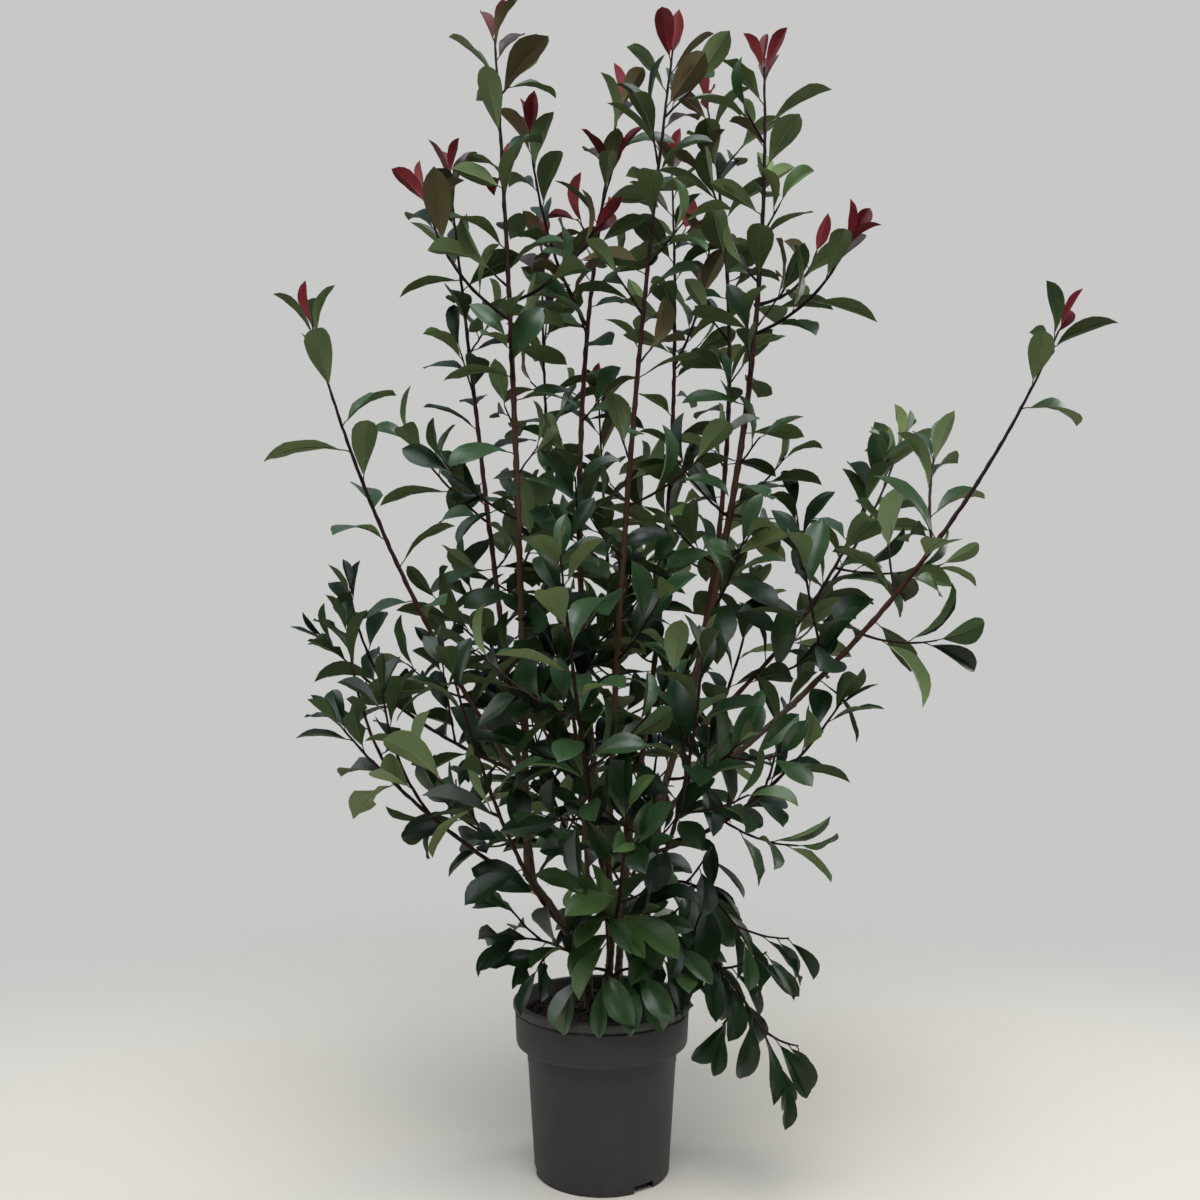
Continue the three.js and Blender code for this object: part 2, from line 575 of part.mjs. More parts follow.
// The main twig of a mass goes on from its bough, or stands on its parent's side.
function growMainTwig(mass, taken) {
  const { cane, row, seed } = mass;
  const from = row.bare;
  const radiusAt = taper([taper(row.radii)(from), TWIG.tipRadius]);
  const first = row.shaded ? FIRST_ON_SIDE_SHOOT : 0;
  mass.body = firstClean((attempt) => (
    clearOfLimbs(toSolid(tube(cane, from, 1, radiusAt, TWIG, attempt * ATTEMPTS.twist)))));
  addTwig(mass, mass.body, { cane, from, seed, first, clear: row.clear }, taken);
}

// Named shoots, then ruled ones. One that would touch another piece is skipped.
function growSideShoots(mass, taken) {
  const [{ cane, from, first }] = mass.twigs;
  const named = (mass.row.shoots ?? []).map((shoot) => {
    const foot = cane.onSteps(shoot.at, from, TWIG.stepLength);
    return new Cane(foot, new THREE.Vector3(...shoot.tip), new THREE.Vector3(...shoot.bow));
  });
  const shoots = [...named, ...ruledShoots(cane, from, mass.seed, mass.row)];
  const others = taken.filter((other) => other.owner !== mass);
  const radiusAt = taper([SHOOTS.radius, TWIG.tipRadius]);
  shoots.forEach((shoot, i) => {
    let solid = null;
    const joined = firstClean((attempt) => {
      solid = toSolid(tube(shoot, 0, 1, radiusAt, TWIG, attempt * ATTEMPTS.twist));
      return touchesAny(solid, others) ? null : mass.body.add(solid);
    });
    if (!joined) return;
    mass.body = joined;
    const seed = mass.seed + SHOOT_SEED_STEP * (i + 1);
    const ends = i < named.length ? first : FIRST_ON_SIDE_SHOOT;
    addTwig(mass, solid, { cane: shoot, from: 0, seed, first: ends }, taken);
  });
}

// A leaf that would touch another mass, a limb, the pot or another leaf is skipped.
function growLeaves(mass, taken) {
  for (const twig of mass.twigs) {
    for (const leaf of leavesOn(twig, mass.row)) {
      const others = taken.filter((other) => other.owner !== mass || other.isLeaf);
      let solid = null;
      const joined = firstClean((attempt) => {
        const root = leaf.root.clone().addScaledVector(leaf.stem, -attempt * ATTEMPTS.slide);
        solid = leafSolid({ ...leaf, root });
        return touchesAny(solid, others) ? null : mass.body.add(solid);
      });
      if (joined) {
        mass.body = joined;
        taken.push({ solid, box: solid.boundingBox(), owner: mass, isLeaf: true });
      }
    }
  }
}

// ------------------------------------------------------------------- the plant

addPiece('outer_pot', outerPotSolid(), POT_PLASTIC);
addPiece('inner_pot', innerPotSolid(), LIP_PLASTIC);
addPiece('soil', soilSolid(), COMPOST);

STEMS.forEach(addStem);
for (const mass of masses) {
  mass.cane = caneOf(mass.row);
  const { name, bare, radii } = mass.row;
  if (bare > 0) {
    const endRadius = taper(radii)(bare);
    addLimb(`bough_${name}`, mass.cane, bare, taper([radii[0], endRadius]), YOUNG_BARK);
  }
  limbs.set(name, { cane: mass.cane });
}

const taken = pieces.map(({ solid, box }) => ({ solid, box, owner: null }));
for (const mass of masses) growMainTwig(mass, taken);
for (const mass of masses) growSideShoots(mass, taken);
for (const mass of masses) growLeaves(mass, taken);
for (const mass of masses) addPiece(`foliage_${mass.row.name}`, mass.body, LEAF_GREEN);

const photinia = new THREE.Group();
for (const { name, solid, look } of pieces) {
  const mesh = new THREE.Mesh(toGeometry(solid), material(...look));
  mesh.name = name;
  photinia.add(mesh);
}

export default photinia;
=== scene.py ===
# %% [markdown]
# # A potted photinia
#
# This lesson dresses a young photinia: an open shrub of upright canes with glossy
# leaves and red shoot tips, in two nested nursery pots. The engineering model gives
# plain solids at their true size and place. Here each one is replaced by a finer
# piece, in metres, in the same frame, so nothing has to be fitted afterwards.

# %% Load the frame and note its size
import json
import math

import bpy
import numpy as np
from mathutils import Matrix, Vector
from mathutils.bvhtree import BVHTree

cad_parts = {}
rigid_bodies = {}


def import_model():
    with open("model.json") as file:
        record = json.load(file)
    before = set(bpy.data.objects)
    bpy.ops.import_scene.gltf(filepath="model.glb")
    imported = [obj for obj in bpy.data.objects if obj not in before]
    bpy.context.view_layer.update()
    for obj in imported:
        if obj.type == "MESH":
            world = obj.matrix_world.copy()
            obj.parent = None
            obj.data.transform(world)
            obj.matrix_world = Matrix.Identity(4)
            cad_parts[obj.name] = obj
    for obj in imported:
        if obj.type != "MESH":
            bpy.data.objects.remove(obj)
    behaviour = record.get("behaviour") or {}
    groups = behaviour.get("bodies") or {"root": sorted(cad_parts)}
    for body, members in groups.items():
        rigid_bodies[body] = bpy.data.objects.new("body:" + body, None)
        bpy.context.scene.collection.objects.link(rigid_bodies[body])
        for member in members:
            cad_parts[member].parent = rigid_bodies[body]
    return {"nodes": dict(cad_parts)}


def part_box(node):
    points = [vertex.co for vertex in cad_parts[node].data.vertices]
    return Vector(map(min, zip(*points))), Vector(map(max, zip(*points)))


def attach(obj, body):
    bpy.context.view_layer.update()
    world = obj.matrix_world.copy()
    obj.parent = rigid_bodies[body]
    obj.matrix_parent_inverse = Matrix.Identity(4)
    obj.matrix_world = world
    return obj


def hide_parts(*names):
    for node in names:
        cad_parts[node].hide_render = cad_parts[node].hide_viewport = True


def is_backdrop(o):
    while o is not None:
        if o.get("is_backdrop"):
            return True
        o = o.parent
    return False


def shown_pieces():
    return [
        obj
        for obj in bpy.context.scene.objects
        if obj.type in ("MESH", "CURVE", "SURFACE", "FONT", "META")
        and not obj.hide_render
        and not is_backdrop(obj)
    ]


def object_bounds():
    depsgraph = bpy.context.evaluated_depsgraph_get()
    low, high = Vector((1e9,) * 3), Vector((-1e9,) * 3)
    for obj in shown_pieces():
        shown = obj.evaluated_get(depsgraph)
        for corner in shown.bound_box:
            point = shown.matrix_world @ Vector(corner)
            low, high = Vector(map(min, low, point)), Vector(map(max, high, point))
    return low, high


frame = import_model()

MM = 0.001
frame_box = [list(corner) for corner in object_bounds()]
print("frame from", frame_box[0], "to", frame_box[1])

# %% [markdown]
# ## Helpers
#
# An operator acts on all that is selected, so every new piece starts from an empty
# selection. Paint and leaf colours are known as sRGB hex values, but shaders want
# linear light, so one function turns them. Shader trees are long to write by hand,
# so one function adds a node with its settings and links. It fills the inputs through
# a second one, which also serves the shader that a material starts with.

# %% Select nothing, or one piece
def deselect_all():
    """Leaves edit mode and empties the selection, so an operator meets only the new piece."""
    if bpy.context.object and bpy.context.object.mode != "OBJECT":
        bpy.ops.object.mode_set(mode="OBJECT")
    bpy.ops.object.select_all(action="DESELECT")


def select_only(piece):
    """Selects one piece and makes it the active one."""
    deselect_all()
    piece.select_set(True)
    bpy.context.view_layer.objects.active = piece


# %% Turn an sRGB hex value to linear light
def linear(hex_value):
    """The linear red, green, blue and alpha of an sRGB hex value such as 0x2a4028."""
    shares = [(hex_value >> shift & 255) / 255 for shift in (16, 8, 0)]
    return [s / 12.92 if s <= 0.04045 else ((s + 0.055) / 1.055) ** 2.4 for s in shares] + [1.0]


# %% Add one shader node
A, B = 6, 7  # the colour inputs of a Mix node, whose names stand on its number inputs too


def fill(tree, node, inputs):
    """Fills inputs by name, or in order from a list. A socket or a node's live output is linked."""
    for name, value in inputs.items() if isinstance(inputs, dict) else enumerate(inputs):
        if isinstance(value, bpy.types.Node):
            value = next(output for output in value.outputs if output.enabled)
        if isinstance(value, bpy.types.NodeSocket):
            tree.links.new(value, node.inputs[name])
        else:
            node.inputs[name].default_value = value


def add_node(tree, kind, inputs=(), **settings):
    """Adds a shader node, sets its properties and fills its inputs."""
    node = tree.nodes.new("ShaderNode" + kind)
    for name, value in settings.items():
        setattr(node, name, value)
    fill(tree, node, inputs)
    return node


def own_node(tree, kind):
    """The node of a kind that a new tree comes with."""
    return next(node for node in tree.nodes if node.type == kind)


def new_material(name):
    """A material with its tree, its Principled shader and the place in Object coordinates."""
    material = bpy.data.materials.new(name)
    material.use_nodes = True
    tree = material.node_tree
    place = add_node(tree, "TexCoord").outputs["Object"]
    return material, tree, own_node(tree, "BSDF_PRINCIPLED"), place


# %% [markdown]
# ## Camera
#
# The viewer stands a step and a half away with the lens at chest height and level,
# which keeps the canes upright. The frame is moved up a little instead of tilting
# the camera, so that the tips and the foot of the pot are both in view.

# %% Camera
EYE = Vector((-3, -1757, 772)) * MM
FOCAL_LENGTH = 33.3  # mm
SENSOR_WIDTH = 36  # mm
FRAME_RISE = 0.066  # share of the picture's width

deselect_all()
bpy.ops.object.camera_add(location=EYE, rotation=(math.radians(90), 0, 0))
camera = bpy.context.object
camera.name = "camera"
camera.data.lens = FOCAL_LENGTH
camera.data.sensor_width = SENSOR_WIDTH
camera.data.shift_y = FRAME_RISE
bpy.context.scene.camera = camera
print("camera", round((EYE - Vector((0, 0, EYE.z))).length, 3), "m from the pot's middle")

# %% [markdown]
# ## Light and floor
#
# A plant like this is seen best in broad soft light. A large soft box hangs
# overhead and in front, and makes the sheen on the upper sides of the leaves. Two
# weaker ones stand left and right and draw the edges of the pot. The room itself is
# a pale backdrop that gives more light from above and behind than from below, so
# the heart of the crown stays dark.

# %% World: an even backdrop, and a room that is lighter above and behind
BACKDROP_GREY = 0xC8C8C7
ROOM_GREY = 0xBAC7D6
LIGHTER_SIDE = (0, 0.5, 0.87)
ROOM_FADE = (-0.6, 0.9)  # from the far side, -1, to the lighter one, 1, where it brightens
ROOM_LIGHT = (0.0, 0.44)  # strength before and after that

world = bpy.data.worlds.new("pale_room")
bpy.context.scene.world = world
world.use_nodes = True
tree = world.node_tree
room = own_node(tree, "BACKGROUND")
direction = add_node(tree, "TexCoord").outputs["Generated"]
side = add_node(tree, "VectorMath", [direction, LIGHTER_SIDE], operation="DOT_PRODUCT")
strength = add_node(tree, "MapRange", [side, *ROOM_FADE, *ROOM_LIGHT])
fill(tree, room, {"Color": linear(ROOM_GREY), "Strength": strength})
backdrop = add_node(tree, "Background", {"Color": linear(BACKDROP_GREY), "Strength": 1.0})
camera_ray = add_node(tree, "LightPath").outputs["Is Camera Ray"]
seen = add_node(tree, "MixShader", [camera_ray, room, backdrop])
fill(tree, own_node(tree, "OUTPUT_WORLD"), {"Surface": seen})

# %% Soft boxes
SOFT_BOXES = [  # name, place, what it points at, side, watts, colour
    ("overhead", (0.05, -1.1, 3.0), (0, 0, 0.8), 2.6, 92, 0xF6F9FF),
    ("left", (-2.4, 0.7, 1.5), (0, 0, 0.7), 1.4, 13, 0xFFFDF8),
    ("right", (2.4, 0.7, 1.5), (0, 0, 0.7), 1.4, 21, 0xFFFDF8),
]

for name, place, target, side, watts, colour in SOFT_BOXES:
    deselect_all()
    aim = (Vector(target) - Vector(place)).to_track_quat("-Z", "Y").to_euler()
    bpy.ops.object.light_add(type="AREA", location=place, rotation=aim)
    light = bpy.context.object
    light.name = "soft_box_" + name
    light.data.size = side
    light.data.energy = watts
    light.data.color = linear(colour)[:3]

# %% [markdown]
# The floor is a white board. It fades out into the backdrop a step away from the
# pot, so that no horizon cuts through the crown from any side.

# %% Floor
FLOOR_WHITE = 0xF4ECDE
FLOOR_SIDE = 6
FADE = (0.75, 2.3)  # m from the pot, where the board starts to fade and where it is gone

deselect_all()
bpy.ops.mesh.primitive_plane_add(size=FLOOR_SIDE)
floor = bpy.context.object
floor.name = "floor"
board, tree, shader, place = new_material("white_coated_board")
fill(tree, shader, {"Base Color": linear(FLOOR_WHITE), "Roughness": 0.6})
away = add_node(tree, "VectorMath", [place], operation="LENGTH")
gone = add_node(tree, "MapRange", [away, *FADE], interpolation_type="SMOOTHSTEP")
faded = add_node(tree, "MixShader", [gone, shader, add_node(tree, "BsdfTransparent")])
fill(tree, own_node(tree, "OUTPUT_MATERIAL"), {"Surface": faded})
floor.data.materials.append(board)
floor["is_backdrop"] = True
bpy.context.scene.view_settings.view_transform = "Standard"
print("three soft boxes and a floor")

# %% [markdown]
# ## Moulded polypropylene
#
# Nursery pots are injection moulded from recycled polypropylene. The mould leaves
# a fine matte grain, and handling leaves pale dusty scuffs and a few darker water
# marks. So the colour wanders a little between three greys, and the grain is bump.
# Nearly every material here is one colour laid over another by a pattern, so that
# is a helper. Water runs down a wall as cracks run up a stem, so a second one draws
# a noise out along the height.

# %% A colour laid over another, and a noise drawn out along the height
def laid_over(tree, pattern, fade, under, over):
    """A colour over another, by a pattern that fades it in from one value to the next."""
    share = add_node(tree, "MapRange", [pattern, *fade])
    return add_node(tree, "Mix", {0: share, A: under, B: linear(over)}, data_type="RGBA")


def upright_noise(tree, place, width, squeeze, detail, roughness=0.5):
    """A noise of this width whose marks are longer upwards, the more so the smaller squeeze is."""
    drawn = add_node(tree, "Mapping", {"Vector": place, "Scale": (1, 1, squeeze)})
    return add_node(tree, "TexNoise", {
        "Vector": drawn, "Scale": 1 / width, "Detail": detail, "Roughness": roughness})


# %% Pot plastics
def pot_plastic(name, body, dust, mark):
    """Matte recycled plastic: a body colour, pale dust over it and darker water marks."""
    material, tree, shader, place = new_material(name)
    clouds = add_node(tree, "TexNoise", {"Vector": place, "Scale": 1 / (70 * MM), "Detail": 5.0})
    dusted = laid_over(tree, clouds, (0.5, 0.78, 0.0, 0.5), linear(body), dust)
    runs = upright_noise(tree, place, 16 * MM, 0.22, 3.0)
    colour = laid_over(tree, runs, (0.55, 0.75, 0.0, 0.45), dusted, mark)
    rough = add_node(tree, "MapRange", [clouds, 0.0, 1.0, 0.5, 0.72])
    # The real grain is 0.2 mm wide, and is drawn at 1 mm so that it still shows.
    grain = add_node(tree, "TexNoise", {"Vector": place, "Scale": 1 / (1 * MM), "Detail": 2.0})
    bump = add_node(tree, "Bump", {"Height": grain, "Strength": 0.12, "Distance": 0.3 * MM})
    fill(tree, shader, {"Base Color": colour, "Roughness": rough, "Normal": bump})
    return material


outer_plastic = pot_plastic("moulded_polypropylene_taupe", 0x2F2D2C, 0x47443F, 0x252423)
inner_plastic = pot_plastic("moulded_polypropylene_lip", 0x3B3936, 0x524F4A, 0x2D2C2A)
print("pot plastics made")


# %% [markdown]
# ## Turning a pot
#
# A pot is a thin wall turned round an axis. It can be drawn as a profile and spun,
# or built ring by ring. Ring by ring is closer to how the eye reads a pot: a disc
# is extruded up the outside, over the rim, and down the inside to the floor, so the
# wall is closed all the way and needs no thickness added afterwards.

# %% Build a turned wall ring by ring
POT_SEGMENTS = 112


def turned_wall(name, rings):
    """A closed wall through rings of (radius, height), from a disc at the first ring."""
    deselect_all()
    radius, height = rings[0]
    bpy.ops.mesh.primitive_circle_add(
        vertices=POT_SEGMENTS, radius=radius, fill_type="NGON", location=(0, 0, height))
    piece = bpy.context.object
    piece.name = name
    bpy.ops.object.transform_apply(location=True)
    bpy.ops.object.mode_set(mode="EDIT")
    bpy.ops.mesh.select_all(action="SELECT")
    for (radius, height), (next_radius, next_height) in zip(rings, rings[1:]):
        rise = (0, 0, next_height - height)
        bpy.ops.mesh.extrude_region_move(TRANSFORM_OT_translate={"value": rise})
        grow = next_radius / radius
        bpy.ops.transform.resize(value=(grow, grow, 1), center_override=(0, 0, next_height))
    bpy.ops.mesh.select_all(action="SELECT")
    bpy.ops.mesh.normals_make_consistent(inside=False)
    bpy.ops.object.mode_set(mode="OBJECT")
    return piece


def apply_modifier(piece, kind, **settings):
    """Adds a modifier to a piece, sets it, and applies it as by hand."""
    select_only(piece)
    modifier = piece.modifiers.new(kind.lower(), kind)
    for name, value in settings.items():
        setattr(modifier, name, value)
    bpy.ops.object.modifier_apply(modifier=modifier.name)


def smooth_by_angle(piece, degrees):
    """Shades a piece smooth wherever its faces meet at less than this angle."""
    select_only(piece)
    bpy.ops.object.shade_smooth_by_angle(angle=math.radians(degrees))


# %% [markdown]
# The drain notches are pressed out of the foot of both pots. A box as wide as one
# notch is subtracted three times. Then the long edges are rounded with a bevel, as
# a mould rounds them, which also draws the fine highlight along rim and collar.

# %% Cut the drain notches and round the edges
NOTCHES = 3
NOTCH_SIZE = Vector((44, 37, 24)) * MM  # inwards and outwards, along the foot, up and down
FIRST_NOTCH = -53  # degrees round from the right


def finish_pot(piece, foot_radius, foot_height, rounding, material):
    """Cuts the notches, rounds the edges, shades the wall and gives it its plastic."""
    for i in range(NOTCHES):
        angle = math.radians(FIRST_NOTCH + i * 360 / NOTCHES)
        place = (foot_radius * math.cos(angle), foot_radius * math.sin(angle), foot_height)
        deselect_all()
        bpy.ops.mesh.primitive_cube_add(
            size=1, location=place, rotation=(0, 0, angle), scale=NOTCH_SIZE)
        cutter = bpy.context.object
        apply_modifier(piece, "BOOLEAN", object=cutter, operation="DIFFERENCE", solver="EXACT")
        bpy.data.objects.remove(cutter)
    apply_modifier(piece, "BEVEL", width=rounding, segments=3, limit_method="ANGLE",
                   angle_limit=math.radians(24))
    smooth_by_angle(piece, 35)
    piece.data.materials.append(material)
    print(piece.name, len(piece.data.polygons), "faces")


# %% [markdown]
# ## The outer pot
#
# The wall widens gently to a shoulder, steps out over a ledge and stands up again
# as a broad collar, which is where a hand or a gripper lifts it. A shallow band
# below the ledge stiffens the wall. The underside is recessed, so it stands on its
# foot ring.

# %% Outer pot
outer_low, outer_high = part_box("outer_pot")
WALL = 2.4 * MM
RIM_RADIUS = (outer_high.x - outer_low.x) / 2
RIM_HEIGHT = outer_high.z
OUTER_FOOT = 106 * MM
SHOULDER = (118 * MM, 195 * MM)
COLLAR = (135 * MM, 206 * MM)

outer_pot = turned_wall("outer_pot_wall", [
    (OUTER_FOOT - 20 * MM, 1.5 * MM),
    (OUTER_FOOT - 18 * MM, 0),
    (OUTER_FOOT - 1.2 * MM, 0),
    (OUTER_FOOT, 1.5 * MM),
    (116.6 * MM, 172 * MM),
    (117.4 * MM, 173.4 * MM),
    SHOULDER,
    (SHOULDER[0] + 3 * MM, SHOULDER[1] + 2.6 * MM),
    (COLLAR[0] - 4 * MM, COLLAR[1] - 6 * MM),
    (COLLAR[0] - 1.2 * MM, COLLAR[1] - 3.6 * MM),
    COLLAR,
    (RIM_RADIUS, RIM_HEIGHT - 2.2 * MM),
    (RIM_RADIUS - 1.2 * MM, RIM_HEIGHT),
    (RIM_RADIUS - WALL, RIM_HEIGHT),
    (COLLAR[0] - WALL, COLLAR[1] + WALL),
    (SHOULDER[0] - WALL, SHOULDER[1] + WALL),
    (OUTER_FOOT - WALL, 3 * MM),
])
finish_pot(outer_pot, OUTER_FOOT, 0, 0.7 * MM, outer_plastic)
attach(outer_pot, "root")
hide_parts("outer_pot")

# %% [markdown]
# ## The inner pot
#
# The plant's own pot hangs in the outer one by its lip. Only the lip and a little
# of its inside show. The lip stands out over the outer rim, and the two rounded
# edges leave a dark line between them.

# %% Inner pot
inner_low, inner_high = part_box("inner_pot")
LIP_RADIUS = (inner_high.x - inner_low.x) / 2
LIP_HEIGHT = inner_high.z
LIP_FOOT = RIM_HEIGHT + 0.3 * MM
STANDS_AT = inner_low.z
INNER_FOOT = 97 * MM
INNER_SHOULDER = (111 * MM, 205 * MM)
NECK = 130 * MM

inner_pot = turned_wall("inner_pot_wall", [
    (INNER_FOOT - 14 * MM, STANDS_AT),
    (INNER_FOOT, STANDS_AT),
    INNER_SHOULDER,
    (NECK - 1 * MM, INNER_SHOULDER[1] + 10 * MM),
    (NECK, LIP_FOOT),
    (LIP_RADIUS - 5 * MM, LIP_FOOT + 0.4 * MM),
    (LIP_RADIUS - 4.8 * MM, LIP_FOOT + 4.2 * MM),
    (LIP_RADIUS - 0.8 * MM, LIP_FOOT + 5 * MM),
    (LIP_RADIUS, LIP_FOOT + 6.2 * MM),
    (LIP_RADIUS, LIP_HEIGHT - 2.4 * MM),
    (LIP_RADIUS - 0.8 * MM, LIP_HEIGHT - 0.8 * MM),
    (LIP_RADIUS - 2.6 * MM, LIP_HEIGHT),
    (NECK, LIP_HEIGHT),
    (NECK - WALL, LIP_HEIGHT - 1.6 * MM),
    (NECK - 1 * MM - WALL, INNER_SHOULDER[1] + 10 * MM + WALL),
    (INNER_SHOULDER[0] - WALL, INNER_SHOULDER[1] + WALL),
    (INNER_FOOT - WALL, STANDS_AT + 3 * MM),
])
finish_pot(inner_pot, INNER_FOOT, STANDS_AT, 0.5 * MM, inner_plastic)
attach(inner_pot, "root")
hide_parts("inner_pot")

# %% [markdown]
# ## Chance that repeats
#
# Growth looks random, yet the plant has to be the same each time. A hash of a sine
# gives a value from 0 to 1 for a seed, a draw and a step. The engineering model
# uses the same one, so both grow their twigs and leaves in the same places. Each
# thing that is left to chance has a draw of its own, by name. A step that is moved
# on gives a second value from the same draw.

# %% Chance and swing
DRAW = dict(
    chip_corner=1, chip_turn=2, chip_size=3, chip_height=4, chip_spin=5, chip_tilt=6,
    leaf_size=1, leaf_turn=2, leaf_opening=3, leaf_droop=4, leaf_roll=5, leaf_gap=6,
    shoot_length=7, shoot_opening=8, shoot_lift=9, tint=10, arch=11, fold=12, twist=13,
    ripple=14, width=15, tatty=16, bite=17, bend=18, spur=19)


def chance(seed, draw, step=0):
    """A value from 0 to 1 that is always the same for the same seed, draw and step."""
    wave = math.sin(seed * 12.9898 + DRAW[draw] * 37.719 + step * 78.233) * 43758.5453
    return wave - math.floor(wave)


def swing(seed, draw, step=0):
    """The same value, spread from -1 to 1."""
    return 2 * chance(seed, draw, step) - 1


def mix(low, high, share):
    """The value that lies this share of the way from low to high."""
    return low + (high - low) * share


# %% [markdown]
# ## Joined meshes from arrays
#
# Chips, twigs and leaves come in hundreds. One object each would be slow to draw
# and heavy to keep, so each kind is gathered as points and faces and made into one
# mesh at the end. A heap keeps the blocks, the material of each face and, where a
# pattern follows the surface, a place on it for each corner.

# %% A heap of small shapes of one kind
UV_NAME = "along_and_across"


class Heap:
    """Points and faces of many small shapes, made into one piece at the end."""

    def __init__(self):
        self.points, self.faces, self.looks, self.places = [], [], [], []
        self.count = 0

    def add(self, points, faces, looks=None, places=()):
        start = len(self.points)
        self.points.extend(points)
        self.faces.extend([[start + i for i in face] for face in faces])
        self.looks.extend(looks or [0] * len(faces))
        self.places.extend(places)
        self.count += 1

    def make(self, name, materials):
        mesh = bpy.data.meshes.new(name)
        mesh.from_pydata(self.points, [], self.faces)
        mesh.polygons.foreach_set("material_index", self.looks)
        if self.places:
            uv_map = mesh.uv_layers.new(name=UV_NAME)
            uv_map.data.foreach_set("uv", np.array(self.places, float).ravel())
        for material in materials:
            mesh.materials.append(material)
        piece = bpy.data.objects.new(name, mesh)
        bpy.context.scene.collection.objects.link(piece)
        smooth_by_angle(piece, 55)
        print(name, self.count, "shapes,", len(self.faces), "faces")
        return piece


# %% [markdown]
# ## Compost
#
# Nursery compost is peat with composted bark. Its surface is almost black when
# damp, lumpy at the scale of a fingertip, and sinks a little at the pot's wall.
# The body is turned like the pots, its top is drawn in many rings, and two layers
# of noise push those up and down.

# %% Compost materials
def compost_material(name, dark, light, lump):
    """Damp peat or bark: near black, with paler fibres at the scale of one lump."""
    material, tree, shader, place = new_material(name)
    lumps = add_node(tree, "TexNoise", {"Vector": place, "Scale": 1 / lump, "Detail": 6.0})
    colour = laid_over(tree, lumps, (0.38, 0.66), linear(dark), light)
    bump = add_node(tree, "Bump", {"Height": lumps, "Strength": 0.6, "Distance": 1 * MM})
    fill(tree, shader, {"Base Color": colour, "Roughness": 0.94, "Normal": bump})
    return material


damp_peat = compost_material("damp_peat", 0x0E0A08, 0x261B14, 4 * MM)
bark_chip = compost_material("composted_bark", 0x1E140E, 0x4C3727, 9 * MM)

# %% Compost body
soil_low, soil_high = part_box("soil")
SOIL_RADIUS = (soil_high.x - soil_low.x) / 2
SOIL_TOP = soil_high.z
SOIL_RINGS = 26
SINK = 4 * MM  # how far the surface falls off at the wall
GAP_TO_WALL = 0.3 * MM
LUMPS = ((22 * MM, 5 * MM), (6 * MM, 3 * MM))  # width and height

soil = turned_wall("compost", [
    (INNER_FOOT - WALL - GAP_TO_WALL, soil_low.z),
    (INNER_SHOULDER[0] - WALL - GAP_TO_WALL, INNER_SHOULDER[1] + WALL),
    (SOIL_RADIUS, INNER_SHOULDER[1] + 13 * MM),
    (SOIL_RADIUS, SOIL_TOP - 5 * MM),
] + [
    (SOIL_RADIUS * (1 - (i + 1) / (SOIL_RINGS + 1)), SOIL_TOP - SINK * math.exp(-i / 3))
    for i in range(SOIL_RINGS)
])
surface = soil.vertex_groups.new(name="surface")
upper = [v.index for v in soil.data.vertices if v.co.z > SOIL_TOP - SINK - 0.5 * MM]
surface.add(upper, 1.0, "REPLACE")
for width, height in LUMPS:
    lumps = bpy.data.textures.new("lumps", "CLOUDS")
    lumps.noise_scale = width
    apply_modifier(soil, "DISPLACE", texture=lumps, direction="Z", strength=height, mid_level=0.62,
                   vertex_group="surface", texture_coords="LOCAL")
smooth_by_angle(soil, 50)
soil.data.materials.append(damp_peat)
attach(soil, "root")
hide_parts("soil")

# %% [markdown]
# Chips of bark lie on the compost. Each is a small slab with six uneven sides,
# turned any way. They are spread by the golden angle, which covers a disc evenly
# without rows, and their sizes and tilts come by chance.

# %% Bark chips
GOLDEN_ANGLE = 137.5
CHIPS = 900
CHIP_LENGTHS = (4 * MM, 14 * MM)
CHIP_SHAPE = dict(uneven=0.22, width=0.55, thickness=0.12)  # shares of its length
CHIPS_SINK_FROM = 0.85  # share of the radius where the chips begin to lie lower
CHIP_SPREAD = dict(turn=30, height=2 * MM, tilt=0.7)  # degrees, m and radians either way


def chip(place, size, turn, tilt, seed):
    """A slab of six uneven corners above and six below, as points and faces."""
    turned = Matrix.Rotation(turn, 3, "Z") @ Matrix.Rotation(tilt, 3, "X")
    corners = []
    for layer in (-1, 1):
        for i in range(6):
            angle = math.radians(60 * i)
            reach = size * (0.5 + CHIP_SHAPE["uneven"] * swing(seed, "chip_corner", i))
            corner = Vector((math.cos(angle) * reach, math.sin(angle) * reach * CHIP_SHAPE["width"],
                             layer * size * CHIP_SHAPE["thickness"]))
            corners.append(place + turned @ corner)
    sides = [[i, (i + 1) % 6, 6 + (i + 1) % 6, 6 + i] for i in range(6)]
    return corners, [[5, 4, 3, 2, 1, 0], [6, 7, 8, 9, 10, 11]] + sides


chips = Heap()
for i in range(CHIPS):
    reach = (SOIL_RADIUS - 4 * MM) * math.sqrt((i + 0.5) / CHIPS)
    angle = math.radians(GOLDEN_ANGLE * i + CHIP_SPREAD["turn"] * swing(i, "chip_turn"))
    size = mix(*CHIP_LENGTHS, chance(i, "chip_size") ** 2)
    near_wall = max(0, reach / SOIL_RADIUS - CHIPS_SINK_FROM) / (1 - CHIPS_SINK_FROM)
    rise = CHIP_SPREAD["height"] * swing(i, "chip_height")
    height = SOIL_TOP - 0.5 * MM + rise - SINK * near_wall
    place = Vector((reach * math.cos(angle), reach * math.sin(angle), height))
    tilt = CHIP_SPREAD["tilt"] * swing(i, "chip_tilt")
    chips.add(*chip(place, size, math.tau * chance(i, "chip_spin"), tilt, i))
bark_chips = chips.make("bark_chips", [bark_chip])
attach(bark_chips, "root")

